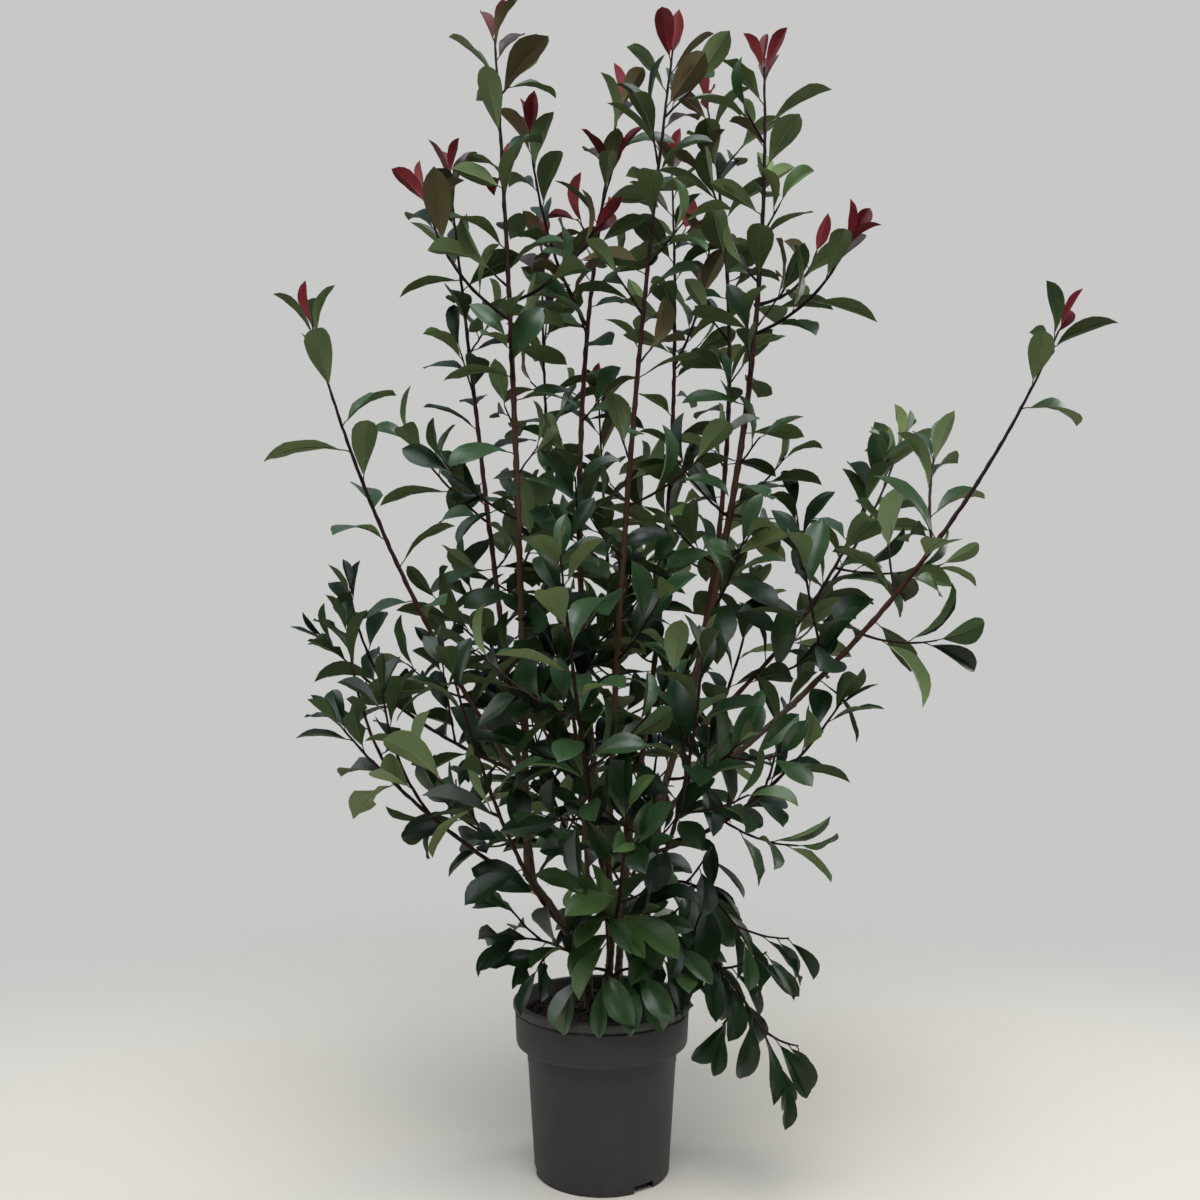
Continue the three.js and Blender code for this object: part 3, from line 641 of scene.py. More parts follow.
# %% [markdown]
# ## Where the limbs run
#
# Every limb runs straight from its foot to its tip, with a bow at mid length that
# bends it. That is a quadratic curve, so its point, its direction and the handles
# of an exact Bezier curve all follow from three vectors. The tables below give the
# stems and canes in millimetres, as in the engineering model.

# %% A cane's centre line
UP = Vector((0, 0, 1))
UPRIGHT = 0.05  # a limb that leans less than this counts as upright


class Cane:
    """The centre line of a limb: straight from foot to tip, plus a bow at mid length."""

    def __init__(self, foot, tip, bow):
        self.foot, self.tip, self.bow = Vector(foot), Vector(tip), Vector(bow)
        self.span = (self.tip - self.foot).length
        chord = (self.tip - self.foot).normalized()
        self.reference = Vector((-chord.y, chord.x, 0))
        if self.reference.length < UPRIGHT:
            self.reference = Vector((1, 0, 0))
        self.reference.normalize()

    def point(self, t):
        return self.foot.lerp(self.tip, t) + self.bow * (4 * t * (1 - t))

    def slope(self, t):
        return self.tip - self.foot + self.bow * (4 - 8 * t)

    def along(self, t):
        return self.slope(t).normalized()

    def sideways(self, t, degrees):
        """A direction square to the limb at t, turned by an angle round it."""
        along = self.along(t)
        side = (self.reference - along * self.reference.dot(along)).normalized()
        return Matrix.Rotation(math.radians(degrees), 3, along) @ side


def in_metres(values):
    """A list of millimetres as a vector in metres."""
    return Vector(values) * MM


# %% Stems: foot on the compost, tip, bow and radii
FOOT_DEPTH = 9 * MM
STEMS = {
    "stem_left": ([-20, 10], [-118, -8, 462], [24, 0, 0], [6.6, 5.6]),
    "stem_middle": ([3, 14], [6, 8, 500], [10, 0, 0], [6.4, 5.4]),
    "stem_right": ([42, 8], [92, -4, 580], [5, 0, 0], [7, 5.8]),
    "stem_slim": ([-19, 38], [-46, 84, 700], [8, 4, 0], [4.2, 3.2]),
    "stem_back": ([22, 50], [46, 118, 500], [0, -6, 0], [6.2, 5.2]),
    "stem_front": ([14, -34], [18, -76, 318], [0, 6, 0], [3.4, 2.8]),
}
canes = {
    name: Cane(in_metres(foot + [SOIL_TOP / MM]) - UP * FOOT_DEPTH, in_metres(tip), in_metres(bow))
    for name, (foot, tip, bow, radii) in STEMS.items()
}
print(len(canes), "stems")

# %% [markdown]
# The canes grow on from the stems and from each other. Each row names its parent
# and how far along it the cane leaves, then its tip, its bow and its radii. The
# bare share is the bough, which carries no leaves. What follows by name is the
# cane's own, where it differs from a plain one.

# %% What a plain cane is like
PLAIN = dict(
    gap=62,  # mm between leaves in the engineering model
    closer=None,  # share of that gap here, where the cane has its own
    clear=(1, 1),  # stretch of its length that has lost its leaves
    size=1, droop=0,  # of its leaves
    spin=0,  # degrees by which its leaves are turned on round it
    shoots=(),  # named side shoots, longer ones that stand out: where, tip and bow
    shoots_from=0, shoots_below=1060,  # heights in mm between which shoots grow by the rule
    spurs=0.85,  # share of the places for a short spur that have one
    shaded=False,  # a low inner cane, which ends in grown leaves
    reds=None,  # number of red leaves at its tip, where it has its own
    # Rows low down, hanging or at the front get more dark leaves by this, partly as painted shade.
    greens=None,  # share of dark leaves, and of dark and middle ones, where it has its own
    tatty=0.03,  # share of bitten leaves
)


def row(parent, at, tip, bow, radii, bare=0, **own):
    """One row of the table below, filled up with what a plain cane is like."""
    return dict(PLAIN, parent=parent, at=at, tip=tip, bow=bow, radii=radii, bare=bare, **own)


# %% Canes
CANES = {
    "tall_left": row("stem_left", 1, [-164, -60, 1752], [8, 0, 0], [5.4, 1.6], 0.16, shoots=[
        (0.67, [-280, 0, 1538], [-20, 0, -14]), (0.69, [-10, -20, 1478], [10, 0, -14])]),
    "left_leader": row(
        "stem_left", 0.94, [-252, 80, 1606], [-6, 30, 0], [4.6, 1.5], 0.2, spurs=0.4),
    "far_left": row(
        "tall_left", 0.11, [-440, -70, 1305], [-30, -14, -14], [3.8, 1.4], 0.16,
        gap=68, closer=0.72, shoots_below=760, spurs=0, size=1.16, reds=1, spin=-100),
    "low_left": row(
        "left_leader", 0.15, [-462, 84, 842], [-12, 20, -24], [3, 1.3], closer=0.78, size=0.94,
        greens=(0.94, 1), tatty=0.3, shoots=[(0.56, [-412, 60, 916], [-12, 0, -10])]),
    "lowest_left": row(
        "stem_left", 0.86, [-388, -120, 706], [-14, -14, -8], [3.4, 1.3], 0.22,
        closer=0.76, clear=(0.2, 0.62), shoots_below=0, greens=(0.96, 1), tatty=0.7, shoots=[
            (0.5, [-330, -90, 760], [-14, 0, -10]), (0.66, [-398, -20, 852], [-14, 0, -14])]),
    "middle_left": row("stem_middle", 1, [31, 66, 1722], [-54, 0, 0], [5.2, 1.5], 0.16, shoots=[
        (0.69, [-116, 30, 1652], [-16, 0, -10])]),
    "middle_right": row("stem_middle", 0.86, [104, -120, 1698], [-16, -16, 0], [4.8, 1.5], 0.18),
    "right_leader": row("stem_right", 1, [252, -34, 1722], [48, 0, 0], [5.6, 1.6], 0.22, shoots=[
        (0.64, [372, -84, 1430], [12, 0, -16]), (0.68, [346, 30, 1462], [12, 0, -16])]),
    "inner_right": row("right_leader", 0.16, [176, 104, 1738], [50, 24, 0], [4.2, 1.4], 0.08),
    "back_right": row("stem_back", 1, [124, 214, 1684], [34, 40, 0], [4.8, 1.4], 0.22, shoots=[
        (0.7, [196, 236, 1566], [10, 0, -12])]),
    "thin_back": row("stem_slim", 1, [-104, 168, 1528], [-14, 14, 0], [3.1, 1.3]),
    "far_right": row(
        "stem_right", 0.94, [700, -56, 1306], [54, -20, -34], [4.6, 1.4], 0.3,
        gap=84, closer=0.5, clear=(0.63, 0.84), shoots_below=960, spurs=0, size=1.18, reds=2,
        spin=80, shoots=[(0.6, [524, -6, 1126], [-6, 0, -10])]),
    "mid_right": row(
        "right_leader", 0.07, [468, 110, 1138], [46, 24, -16], [3.8, 1.4], 0.2, shoots=[
            (0.46, [522, 176, 1190], [16, 6, -14])]),
    "low_right": row("stem_right", 0.76, [352, -128, 740], [12, -14, -30], [3.2, 1.3], 0.24),
    "hanging_right_upper": row(
        "stem_right", 0.58, [214, -104, 380], [0, -6, 46], [2.6, 1.3],
        gap=40, shaded=True, droop=1.1, closer=0.667, greens=(0.85, 1)),
    "hanging_right_lower": row(
        "stem_right", 0.4, [264, -150, 196], [6, -8, 56], [2.6, 1.3],
        gap=48, shaded=True, droop=1.3, closer=0.556, greens=(0.85, 1), tatty=0.12),
    "front_middle": row(
        "stem_middle", 0.66, [-56, -276, 936], [0, -34, -44], [4, 1.4], 0.2, greens=(0.7, 0.97)),
    "front_right": row(
        "stem_right", 0.66, [136, -262, 806], [4, -34, -44], [3.6, 1.4], 0.2, greens=(0.66, 0.96)),
    "front_left": row(
        "stem_left", 0.62, [-206, -250, 790], [0, -34, -44], [3.6, 1.4], 0.2,
        greens=(0.76, 1), shoots_from=540),
    "front_low": row(
        "stem_middle", 0.48, [34, -216, 590], [0, -24, -34], [3, 1.3],
        shaded=True, droop=0.3, closer=0.68, greens=(0.2, 0.6), shoots=[
            (0.1, [66, -118, 420], [0, 0, 10]), (0.16, [-28, -122, 456], [0, 0, 10])]),
    "back_middle": row(
        "stem_back", 0.92, [-6, 256, 1286], [0, 44, -44], [4.2, 1.4], 0.18, closer=0.46),
    "back_left": row(
        "stem_back", 0.8, [-244, 222, 968], [-20, 44, -44], [3.8, 1.4], 0.22, closer=0.42),
    "back_far_right": row(
        "stem_back", 0.86, [276, 232, 930], [20, 44, -54], [3.8, 1.4], 0.22, closer=0.42),
    "back_low": row(
        "stem_back", 0.62, [112, 248, 756], [6, 24, -44], [3, 1.3], shaded=True, closer=0.44),
    "back_low_left": row(
        "stem_back", 0.5, [-132, 236, 730], [-14, 24, -40], [3, 1.3], shaded=True, closer=0.44),
    "rim_left": row(
        "stem_left", 0.4, [-142, -60, 372], [0, -8, 16], [2.2, 1.3], shaded=True, droop=0.35,
        greens=(0.6, 0.9), tatty=0.6, shoots=[(0.2, [-96, -96, 340], [0, 0, 12])]),
    "rim_front": row(
        "stem_front", 1, [2, -128, 334], [0, -4, 12], [2.4, 1.3],
        shaded=True, droop=1.1, closer=0.374, size=1.14, greens=(0.3, 0.7), shoots=[
            (0.1, [64, -122, 338], [0, 0, 10]), (0.3, [-40, -120, 330], [0, 0, 10])]),
    "rim_right": row(
        "stem_right", 0.22, [118, -74, 346], [0, -8, 18], [2.2, 1.3], shaded=True, droop=0.5,
        size=1.1, greens=(0.1, 0.4), shoots=[(0.3, [104, -110, 380], [0, 0, 10])]),
    "spray_left": row("tall_left", 0.04, [-250, -30, 590], [-6, -4, -16], [2.4, 1.3], shaded=True),
    "spray_middle": row(
        "middle_left", 0.07, [-96, -110, 726], [-8, -12, -16], [2.4, 1.3], shaded=True),
    "spray_right": row(
        "right_leader", 0.03, [214, -96, 690], [8, -8, -16], [2.4, 1.3], shaded=True),
    "spray_back": row("stem_slim", 0.62, [-150, 164, 660], [-8, 10, -16], [2.4, 1.3], shaded=True),
}
for name, own in CANES.items():
    foot = canes[own["parent"]].point(own["at"])
    canes[name] = Cane(foot, in_metres(own["tip"]), in_metres(own["bow"]))
print(len(CANES), "canes, the longest", round(max(c.span for c in canes.values()), 2), "m")

# %% [markdown]
# ## Bark
#
# The feet of the stems carry grey-brown bark with fine upright cracks. Above, the
# boughs are smoother and red-brown, and the young canes a dark maroon with a slight
# gloss. All three are peppered with lenticels, the small pale pores that let a
# stem breathe.

# %% Bark materials
def with_pores(tree, place, under, pore, spacing, edge, strength):
    """Pale pores over a colour, one in each cell this wide, that fade out at their edge."""
    cells = add_node(tree, "TexVoronoi", {"Vector": place, "Scale": 1 / spacing, "Randomness": 1.0})
    return laid_over(tree, cells, (*edge, strength, 0.0), under, pore)


def bark(name, dark, light, pore, crack_width, crack_depth, roughness):
    """Bark of two colours drawn out along the stem, with pale pores and upright cracks."""
    material, tree, shader, place = new_material(name)
    cracks = upright_noise(tree, place, crack_width, 0.16, 5.0, 0.65)
    wood = laid_over(tree, cracks, (0.36, 0.64), linear(dark), light)
    bump = add_node(tree, "Bump", {"Height": cracks, "Strength": 0.7, "Distance": crack_depth})
    fill(tree, shader, {
        "Base Color": with_pores(tree, place, wood, pore, 4.5 * MM, (0.12, 0.2), 0.8),
        "Roughness": roughness, "Normal": bump})
    return material


old_bark = bark("old_stem_bark", 0x3A2F24, 0x75634C, 0x8C7B62, 3 * MM, 0.8 * MM, 0.85)
bough_bark = bark("brown_bough_bark", 0x37271D, 0x68503C, 0x82694F, 2.4 * MM, 0.4 * MM, 0.65)
print("barks made")

# %% [markdown]
# ## Stems and boughs
#
# A limb could be a row of cylinders, but a curve with a round section follows the
# bend exactly. The curve is cut into short steps, and the radius at each step gives
# the taper, the flare at the foot, and the slight swelling with a scar where each
# old leaf stood. Converted to a mesh, it is roughened with two sizes of noise, so
# that the relief is in the shape and not only in the shading.

# %% How thick a limb is
FULLNESS = 2.2  # a cane keeps its thickness for most of its length and narrows near its tip
SCAR_GAP = 34 * MM
SCAR = dict(width=3 * MM, swell=0.13, shift=0.3)  # the scars of each limb start elsewhere


def taper(radii, t):
    """The radius at a share of a limb's length."""
    return mix(radii[0], radii[1], t ** FULLNESS)


def relief(distance, seed):
    """How much a limb swells at a distance from its foot: near 1, more at each leaf scar."""
    shift = SCAR["shift"] * seed
    nearest = round(distance / SCAR_GAP + shift) - shift
    away = (distance - nearest * SCAR_GAP) / SCAR["width"]
    return 1 + SCAR["swell"] * math.exp(-away * away)


# %% Model one limb
RING_STEP = 4 * MM
RELIEF_NOISE = ((9 * MM, 1), (3 * MM, 0.7))  # width, and share of the bark's roughness


def model_limb(name, cane, end, radii, flare, sides, rough, material):
    """A limb from its cane's foot to a share of its length, wider in a flare at the foot."""
    deselect_all()
    bpy.ops.curve.primitive_bezier_curve_add(location=(0, 0, 0))
    limb = bpy.context.object
    limb.name = name
    limb.data.resolution_u = 1
    for point, t in zip(limb.data.splines[0].bezier_points, (0, end)):
        point.handle_left_type = point.handle_right_type = "FREE"
        point.co = cane.point(t)
        point.handle_left = point.co - cane.slope(t) * (end / 3)
        point.handle_right = point.co + cane.slope(t) * (end / 3)
    steps = max(6, round(cane.span * end / RING_STEP))
    bpy.ops.object.mode_set(mode="EDIT")
    bpy.ops.curve.select_all(action="SELECT")
    bpy.ops.curve.subdivide(number_cuts=steps - 1)
    bpy.ops.object.mode_set(mode="OBJECT")
    points = limb.data.splines[0].bezier_points
    for i, point in enumerate(points):
        share = i / (len(points) - 1)
        near_foot = max(0, 1 - share * end * cane.span / flare["height"])
        radius = taper(radii, share * end) * MM * (1 + flare["growth"] * near_foot * near_foot)
        point.radius = radius * relief(share * end * cane.span, len(name)) / MM
    limb.data.bevel_depth = MM
    limb.data.bevel_resolution = (sides - 4) // 2
    limb.data.use_fill_caps = True
    bpy.ops.object.convert(target="MESH")
    limb = bpy.context.object
    for width, share in RELIEF_NOISE:
        noise = bpy.data.textures.new("bark_relief", "CLOUDS")
        noise.noise_scale = width
        apply_modifier(limb, "DISPLACE", texture=noise, strength=rough * share, mid_level=0.5,
                       texture_coords="LOCAL")
    smooth_by_angle(limb, 60)
    limb.data.materials.append(material)
    return limb


# %% Stems, with a flare where they leave the compost
ROOT_FLARE = dict(height=45 * MM, growth=0.55)
STEM_SIDES = 14
STEM_ROUGHNESS = 1.5 * MM

for name, (foot, tip, bow, radii) in STEMS.items():
    stem = model_limb(name + "_bark", canes[name], 1, radii, ROOT_FLARE,
                      STEM_SIDES, STEM_ROUGHNESS, old_bark)
    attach(stem, "root")
    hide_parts(name)
print(len(STEMS), "stems modelled")

# %% [markdown]
# A bough starts inside its parent and swells there into a collar, as a branch does.

# %% Boughs, with a collar where they leave their parent
BRANCH_COLLAR = dict(height=22 * MM, growth=0.3)
BOUGH_SIDES = 12
BOUGH_ROUGHNESS = 0.8 * MM

for name, own in CANES.items():
    if own["bare"]:
        bough = model_limb("bough_" + name + "_bark", canes[name], own["bare"], own["radii"],
                           BRANCH_COLLAR, BOUGH_SIDES, BOUGH_ROUGHNESS, bough_bark)
        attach(bough, "root")
        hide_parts("bough_" + name)
print(sum(own["bare"] > 0 for own in CANES.values()), "boughs modelled")

# %% [markdown]
# The canes ripen from the tip down. The last flush is nearly black maroon and has a
# slight gloss, the wood of a year ago is russet, and further down it is brown like
# the boughs. Low shaded twigs start browner. A place map carries the distance from
# the tip, and the three colours follow it, with noise so that they meet unevenly.

# %% Bark that ripens from the tip down
def ripening_bark(name, maroon, russet, brown, pore):
    """Smooth young bark whose colour and gloss follow the distance back from the tip."""
    material, tree, shader, place = new_material(name)
    streaks = upright_noise(tree, place, 2.5 * MM, 0.2, 4.0)
    back = add_node(tree, "SeparateXYZ", [add_node(tree, "UVMap", uv_map=UV_NAME)])
    age = add_node(tree, "Math", [streaks, 0.25, back], operation="MULTIPLY_ADD")
    colour = linear(maroon)
    for older, fade in ((russet, (0.34, 0.66)), (brown, (0.6, 1.0))):
        colour = laid_over(tree, age, fade, colour, older)
    bump = add_node(tree, "Bump", {"Height": streaks, "Strength": 0.4, "Distance": 0.2 * MM})
    fill(tree, shader, {
        "Base Color": with_pores(tree, place, colour, pore, 4 * MM, (0.1, 0.18), 0.6),
        "Roughness": add_node(tree, "MapRange", [age, 0.2, 0.9, 0.5, 0.72]),
        "Specular IOR Level": 0.12, "Normal": bump})
    return material


tall_bark = ripening_bark("ripening_cane_bark", 0x1C0E10, 0x4A2A24, 0x5C4634, 0x6B4A3E)
twig_bark = ripening_bark("brown_twig_bark", 0x2C1B16, 0x4E3226, 0x5C4634, 0x6B4A3E)
print("cane barks made")

# %% [markdown]
# ## What stands already
#
# Twigs and leaves must not pass through each other, through a limb or the pot. A
# tree of boxes round the faces of each shape answers that quickly. Before it is
# asked, the distance between two shapes rules out nearly all the others.

# %% Keep what stands, and ask whether a new shape is free
class Standing:
    """Every shape that stands already, with a sphere round it and its owner."""

    def __init__(self):
        self.trees, self.owners = [], []
        self.centres, self.reaches = np.zeros((0, 3)), np.zeros(0)

    @staticmethod
    def sphere(points):
        array = np.array(points, float)
        centre = (array.min(0) + array.max(0)) / 2
        return centre, np.linalg.norm(array - centre, axis=1).max()

    def add(self, points, faces, owner):
        centre, reach = self.sphere(points)
        self.trees.append(BVHTree.FromPolygons(points, faces))
        self.owners.append(owner)
        self.centres = np.vstack([self.centres, centre])
        self.reaches = np.append(self.reaches, reach)

    def free(self, points, faces, but=None):
        centre, reach = self.sphere(points)
        gaps = np.linalg.norm(self.centres - centre, axis=1) - self.reaches - reach
        near = [i for i in np.flatnonzero(gaps < 0) if but is None or self.owners[i] != but]
        tree = BVHTree.FromPolygons(points, faces) if near else None
        return not any(tree.overlap(self.trees[i]) for i in near)


standing = Standing()
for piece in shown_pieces():
    if piece.name.startswith(("stem_", "bough_", "outer_pot", "inner_pot", "compost")):
        mesh = piece.data
        standing.add([v.co for v in mesh.vertices], [p.vertices for p in mesh.polygons], piece.name)
print(len(standing.trees), "shapes stand")

# %% [markdown]
# ## Twigs
#
# A twig is a tube with few sides along a cane's line. It swells a little at each
# leaf and bends there by a degree or two, which is what makes a real shoot look
# grown and not drawn.

# %% Draw a tube along a path
def tube(path, radii, sides):
    """Points and faces of a closed tube of straight steps, with a ring at each point of path."""
    points = []
    side = None
    for i, (place, radius) in enumerate(zip(path, radii)):
        along = (path[min(i + 1, len(path) - 1)] - path[max(i - 1, 0)]).normalized()
        side = side or along.orthogonal()
        side = (side - along * side.dot(along)).normalized()
        across = along.cross(side)
        for k in range(sides):
            angle = math.tau * k / sides
            points.append(
                place + side * (math.cos(angle) * radius) + across * (math.sin(angle) * radius))
    rings = [[i * sides + k for k in range(sides)] for i in range(len(path))]
    faces = [
        [low[k], low[(k + 1) % sides], high[(k + 1) % sides], high[k]]
        for low, high in zip(rings, rings[1:]) for k in range(sides)
    ]
    return points, faces + [rings[0][::-1], rings[-1]]


# %% [markdown]
# ## The growth rule
#
# It is the rule of the engineering model, carried on to finer twigs. The main twig
# of a mass goes on from its bough. Named shoots and ruled shoots stand on it, and
# higher up short spurs do. Leaves follow one another round a twig by the golden
# angle, close together and small at the tip, then one every few centimetres.

# %% Sizes of the growth rule
YOUNG_LEAVES = [  # distance back from the tip in mm, size and opening angle of the youngest ones
    (4, 0.58, 12), (9, 0.64, 20), (19, 0.72, 28), (36, 0.82, 36), (62, 0.92, 40)]
FIRST_ON_SIDE_SHOOT = 2
CLOSER = 0.505  # share of the engineering model's gap between leaves, to fill it in
CROWDING = (0.84, 1.5)  # of this gap, just below the tip of a main cane and on its old wood
GROWN_OPENING = (42, 78)
AGEING_LENGTH = 700 * MM
DROOP = (0.06, 0.42)
LEAF_SPREAD = dict(size=0.14, turn=24, opening=14, roll=34, gap=0.2)
TURN_TO_LIGHT = 0.7
LEAST_FOOT = 12 * MM
LEAF_LENGTH = 110 * MM  # from the middle of the twig to the leaf's tip
NAMED_RADII = [2.6, 1.5]
SHOOTS = dict(
    order="ruled", first=40 * MM, stop=150 * MM, gap=78 * MM, length=105 * MM, extra=75 * MM,
    opening=58, lift=34 * MM, sag=0.07, radii=[2.0, 1.2], draws_from=0)
SPRIGS = dict(SHOOTS, first=24 * MM, stop=20 * MM, gap=46 * MM, length=44 * MM, extra=50 * MM)
SPURS = dict(
    order="spur", first=60 * MM, stop=60 * MM, gap=72 * MM, length=34 * MM, extra=56 * MM,
    opening=40, lift=0, sag=0, radii=[1.7, 1.1], draws_from=50)
SPURS_ABOVE = 1060 * MM
SHOOT_SPREAD = 10  # degrees
SEED_TURN = dict(leaf=40, shoot=70)
SEED_STEP = 0.37
RED_TIPS_ABOVE = 1250 * MM


# %% A twig
TWIG_STEP = 11 * MM
TWIG_BEND = 0.7 * MM
TWIG_SWELLING = (1.14, 0.97)  # at a leaf, on every third ring, and between leaves
MAIN_SIDES, SHOOT_SIDES = 8, 6


class Twig:
    """A stretch of a cane that carries leaves, with its seed and the mass it is part of."""

    def __init__(self, mass, cane, start, seed, first, radii, order):
        self.mass, self.own = mass, CANES[mass]
        self.cane, self.start, self.seed = cane, start, seed
        self.first, self.radii, self.order = first, radii, order
        self.tall = cane.tip.z > RED_TIPS_ABOVE

    def outline(self, sides):
        """The twig as a tube whose steps bend a little, with a swelling at each leaf."""
        length = self.cane.span * (1 - self.start)
        steps = max(3, round(length / TWIG_STEP))
        path, radii, backs = [], [], []
        for i in range(steps + 1):
            t = mix(self.start, 1, i / steps)
            bend = 0 if i in (0, steps) else TWIG_BEND * swing(self.seed, "bend", i)
            path.append(self.cane.point(t) + self.cane.sideways(t, GOLDEN_ANGLE * i) * bend)
            radii.append(taper(self.radii, t) * MM * TWIG_SWELLING[i % 3 != 1])
            backs.append((1 - t) * self.cane.span)
        points, faces = tube(path, radii, sides)
        places = [(backs[k // sides], k % sides / sides) for face in faces for k in face]
        return points, faces, places


# %% Shoots and spurs on a main twig
def by_rule(main, rule, allowed):
    """A side twig at every even step along a main one where allowed(step, height) says so."""
    cane, seed = main.cane, main.seed
    found = []
    first = main.start * cane.span + rule["first"]
    i = 0
    while first + i * rule["gap"] < cane.span - rule["stop"]:
        t = (first + i * rule["gap"]) / cane.span
        foot = cane.point(t)
        if allowed(i, foot.z):
            step = i + rule["draws_from"]
            length = rule["length"] + rule["extra"] * chance(seed, "shoot_length", step)
            out = cane.sideways(t, SEED_TURN["shoot"] * seed + GOLDEN_ANGLE * i)
            tilt = math.radians(rule["opening"] + SHOOT_SPREAD * swing(seed, "shoot_opening", step))
            aim = cane.along(t) * math.cos(tilt) + out * math.sin(tilt)
            tip = foot + aim * length + UP * rule["lift"] * chance(seed, "shoot_lift", step)
            shoot = Cane(foot, tip, UP * -length * rule["sag"])
            found.append((shoot, FIRST_ON_SIDE_SHOOT, rule["radii"], rule["order"]))
        i += 1
    return found


def shoots_on(main):
    """Named shoots, ruled shoots below a height, and short spurs above it."""
    own = main.own
    low, high = own["shoots_from"] * MM, own["shoots_below"] * MM
    named = [
        (Cane(main.cane.point(at), in_metres(tip), in_metres(bow)),
         main.first, NAMED_RADII, "named")
        for at, tip, bow in own["shoots"]
    ]
    ruled = by_rule(main, SPRIGS if own["shaded"] else SHOOTS, lambda i, z: low < z < high)
    spurs = by_rule(main, SPURS, lambda i, z: (
        z >= SPURS_ABOVE and chance(main.seed, "spur", i) < own["spurs"]))
    return named + ruled + spurs


# %% [markdown]
# First every mass gets its main twig, then its shoots. A shoot that would pass
# through something that belongs to another mass is left out.

# %% Grow the twigs
twigs = []
shape_of = {}


def let_stand(twig, shape):
    """Keeps a twig and its shape."""
    twigs.append(twig)
    shape_of[twig] = shape
    standing.add(*shape[:2], twig.mass)


for seed, (name, own) in enumerate(CANES.items(), 1):
    first = FIRST_ON_SIDE_SHOOT if own["shaded"] else 0
    main = Twig(name, canes[name], own["bare"], seed, first, own["radii"], "main")
    let_stand(main, main.outline(MAIN_SIDES))

left_out = 0
for main in list(twigs):
    for i, (cane, first, radii, order) in enumerate(shoots_on(main), 1):
        twig = Twig(main.mass, cane, 0, main.seed + SEED_STEP * i, first, radii, order)
        shape = twig.outline(SHOOT_SIDES)
        if standing.free(*shape[:2], but=main.mass):
            let_stand(twig, shape)
        else:
            left_out += 1
print(len(twigs), "twigs,", left_out, "left out")

# %% [markdown]
# ## One leaf
#
# The blade of a photinia is widest just past its middle, narrows in a wedge to
# its stalk and ends blunt with a short point. Its edge has small teeth, its halves
# fold up along the rib, and its tip bends down. It is modelled once, as a closed
# shell: eight points round each row of the blade, four faces above and four below,
# drawn together at both ends. Size, fold, bend, twist and ripple then differ from
# leaf to leaf.

# %% The blade's outline and its faces
LEAF_ROWS = [  # share of the blade's length, and half width as a share of the widest
    (0.05, 0.1), (0.17, 0.36), (0.3, 0.66), (0.43, 0.89), (0.56, 1.0), (0.68, 0.98),
    (0.79, 0.83), (0.88, 0.56), (0.95, 0.22)]
TOOTH = 0.012  # every second row stands out and the others in by this share
ROUND_BLADE = [(-1, 0), (-0.5, 1), (0, 1), (0.5, 1), (1, 0), (0.5, -1), (0, -1), (-0.5, -1)]
BLADE_THICKNESS = 0.5 * MM
PETIOLE = 14 * MM
RIPPLES = dict(waves=2.2, lag=2)  # waves along a blade, and how far its edges trail its rib

row_count = len(LEAF_ROWS)
TIP_POINT = 1 + 8 * row_count
blade_faces, blade_looks, blade_places = [], [], []


def add_blade_face(corners, above):
    """Keeps a face, which side of the blade it is on, and where its corners lie on the blade."""
    blade_faces.append(corners)
    blade_looks.append(0 if above else 1)
    for corner in corners:
        if corner in (0, TIP_POINT):
            blade_places.append((corner / TIP_POINT, 0.5))
        else:
            u, width = LEAF_ROWS[(corner - 1) // 8]
            blade_places.append((u, 0.5 + 0.5 * ROUND_BLADE[(corner - 1) % 8][0] * width))


for column in range(8):
    beside = (column + 1) % 8
    above = column < 4
    add_blade_face([0, 1 + beside, 1 + column], above)
    for i in range(row_count - 1):
        low, high = 1 + 8 * i, 9 + 8 * i
        # A bent face is cut along its first and third corner. Below, the corners start one
        # further on, so that both sides are cut along the same line and never cross.
        face = [low + column, low + beside, high + beside, high + column]
        add_blade_face(face if above else face[1:] + face[:1], above)
    last = TIP_POINT - 8
    add_blade_face([last + column, last + beside, TIP_POINT], above)
print("a blade has", len(blade_faces), "faces")

# %% [markdown]
# A leaf chewed by weevils or torn by wind keeps its rib but loses scallops of its
# edge. That is drawn by pulling the edge in over a few rows of one side.

# %% Place one blade
class Leaf:
    """What is known of one leaf, gathered step by step."""

    def __init__(self, **facts):
        self.know(**facts)

    def know(self, **facts):
        for name, value in facts.items():
            setattr(self, name, value)

    def bent(self, u):
        """How far the blade has turned at u, and how far out and down that brings it."""
        angle = self.arch * u
        out = self.length * (math.sin(angle) / self.arch)
        return angle, out, self.length * (1 - math.cos(angle)) / self.arch


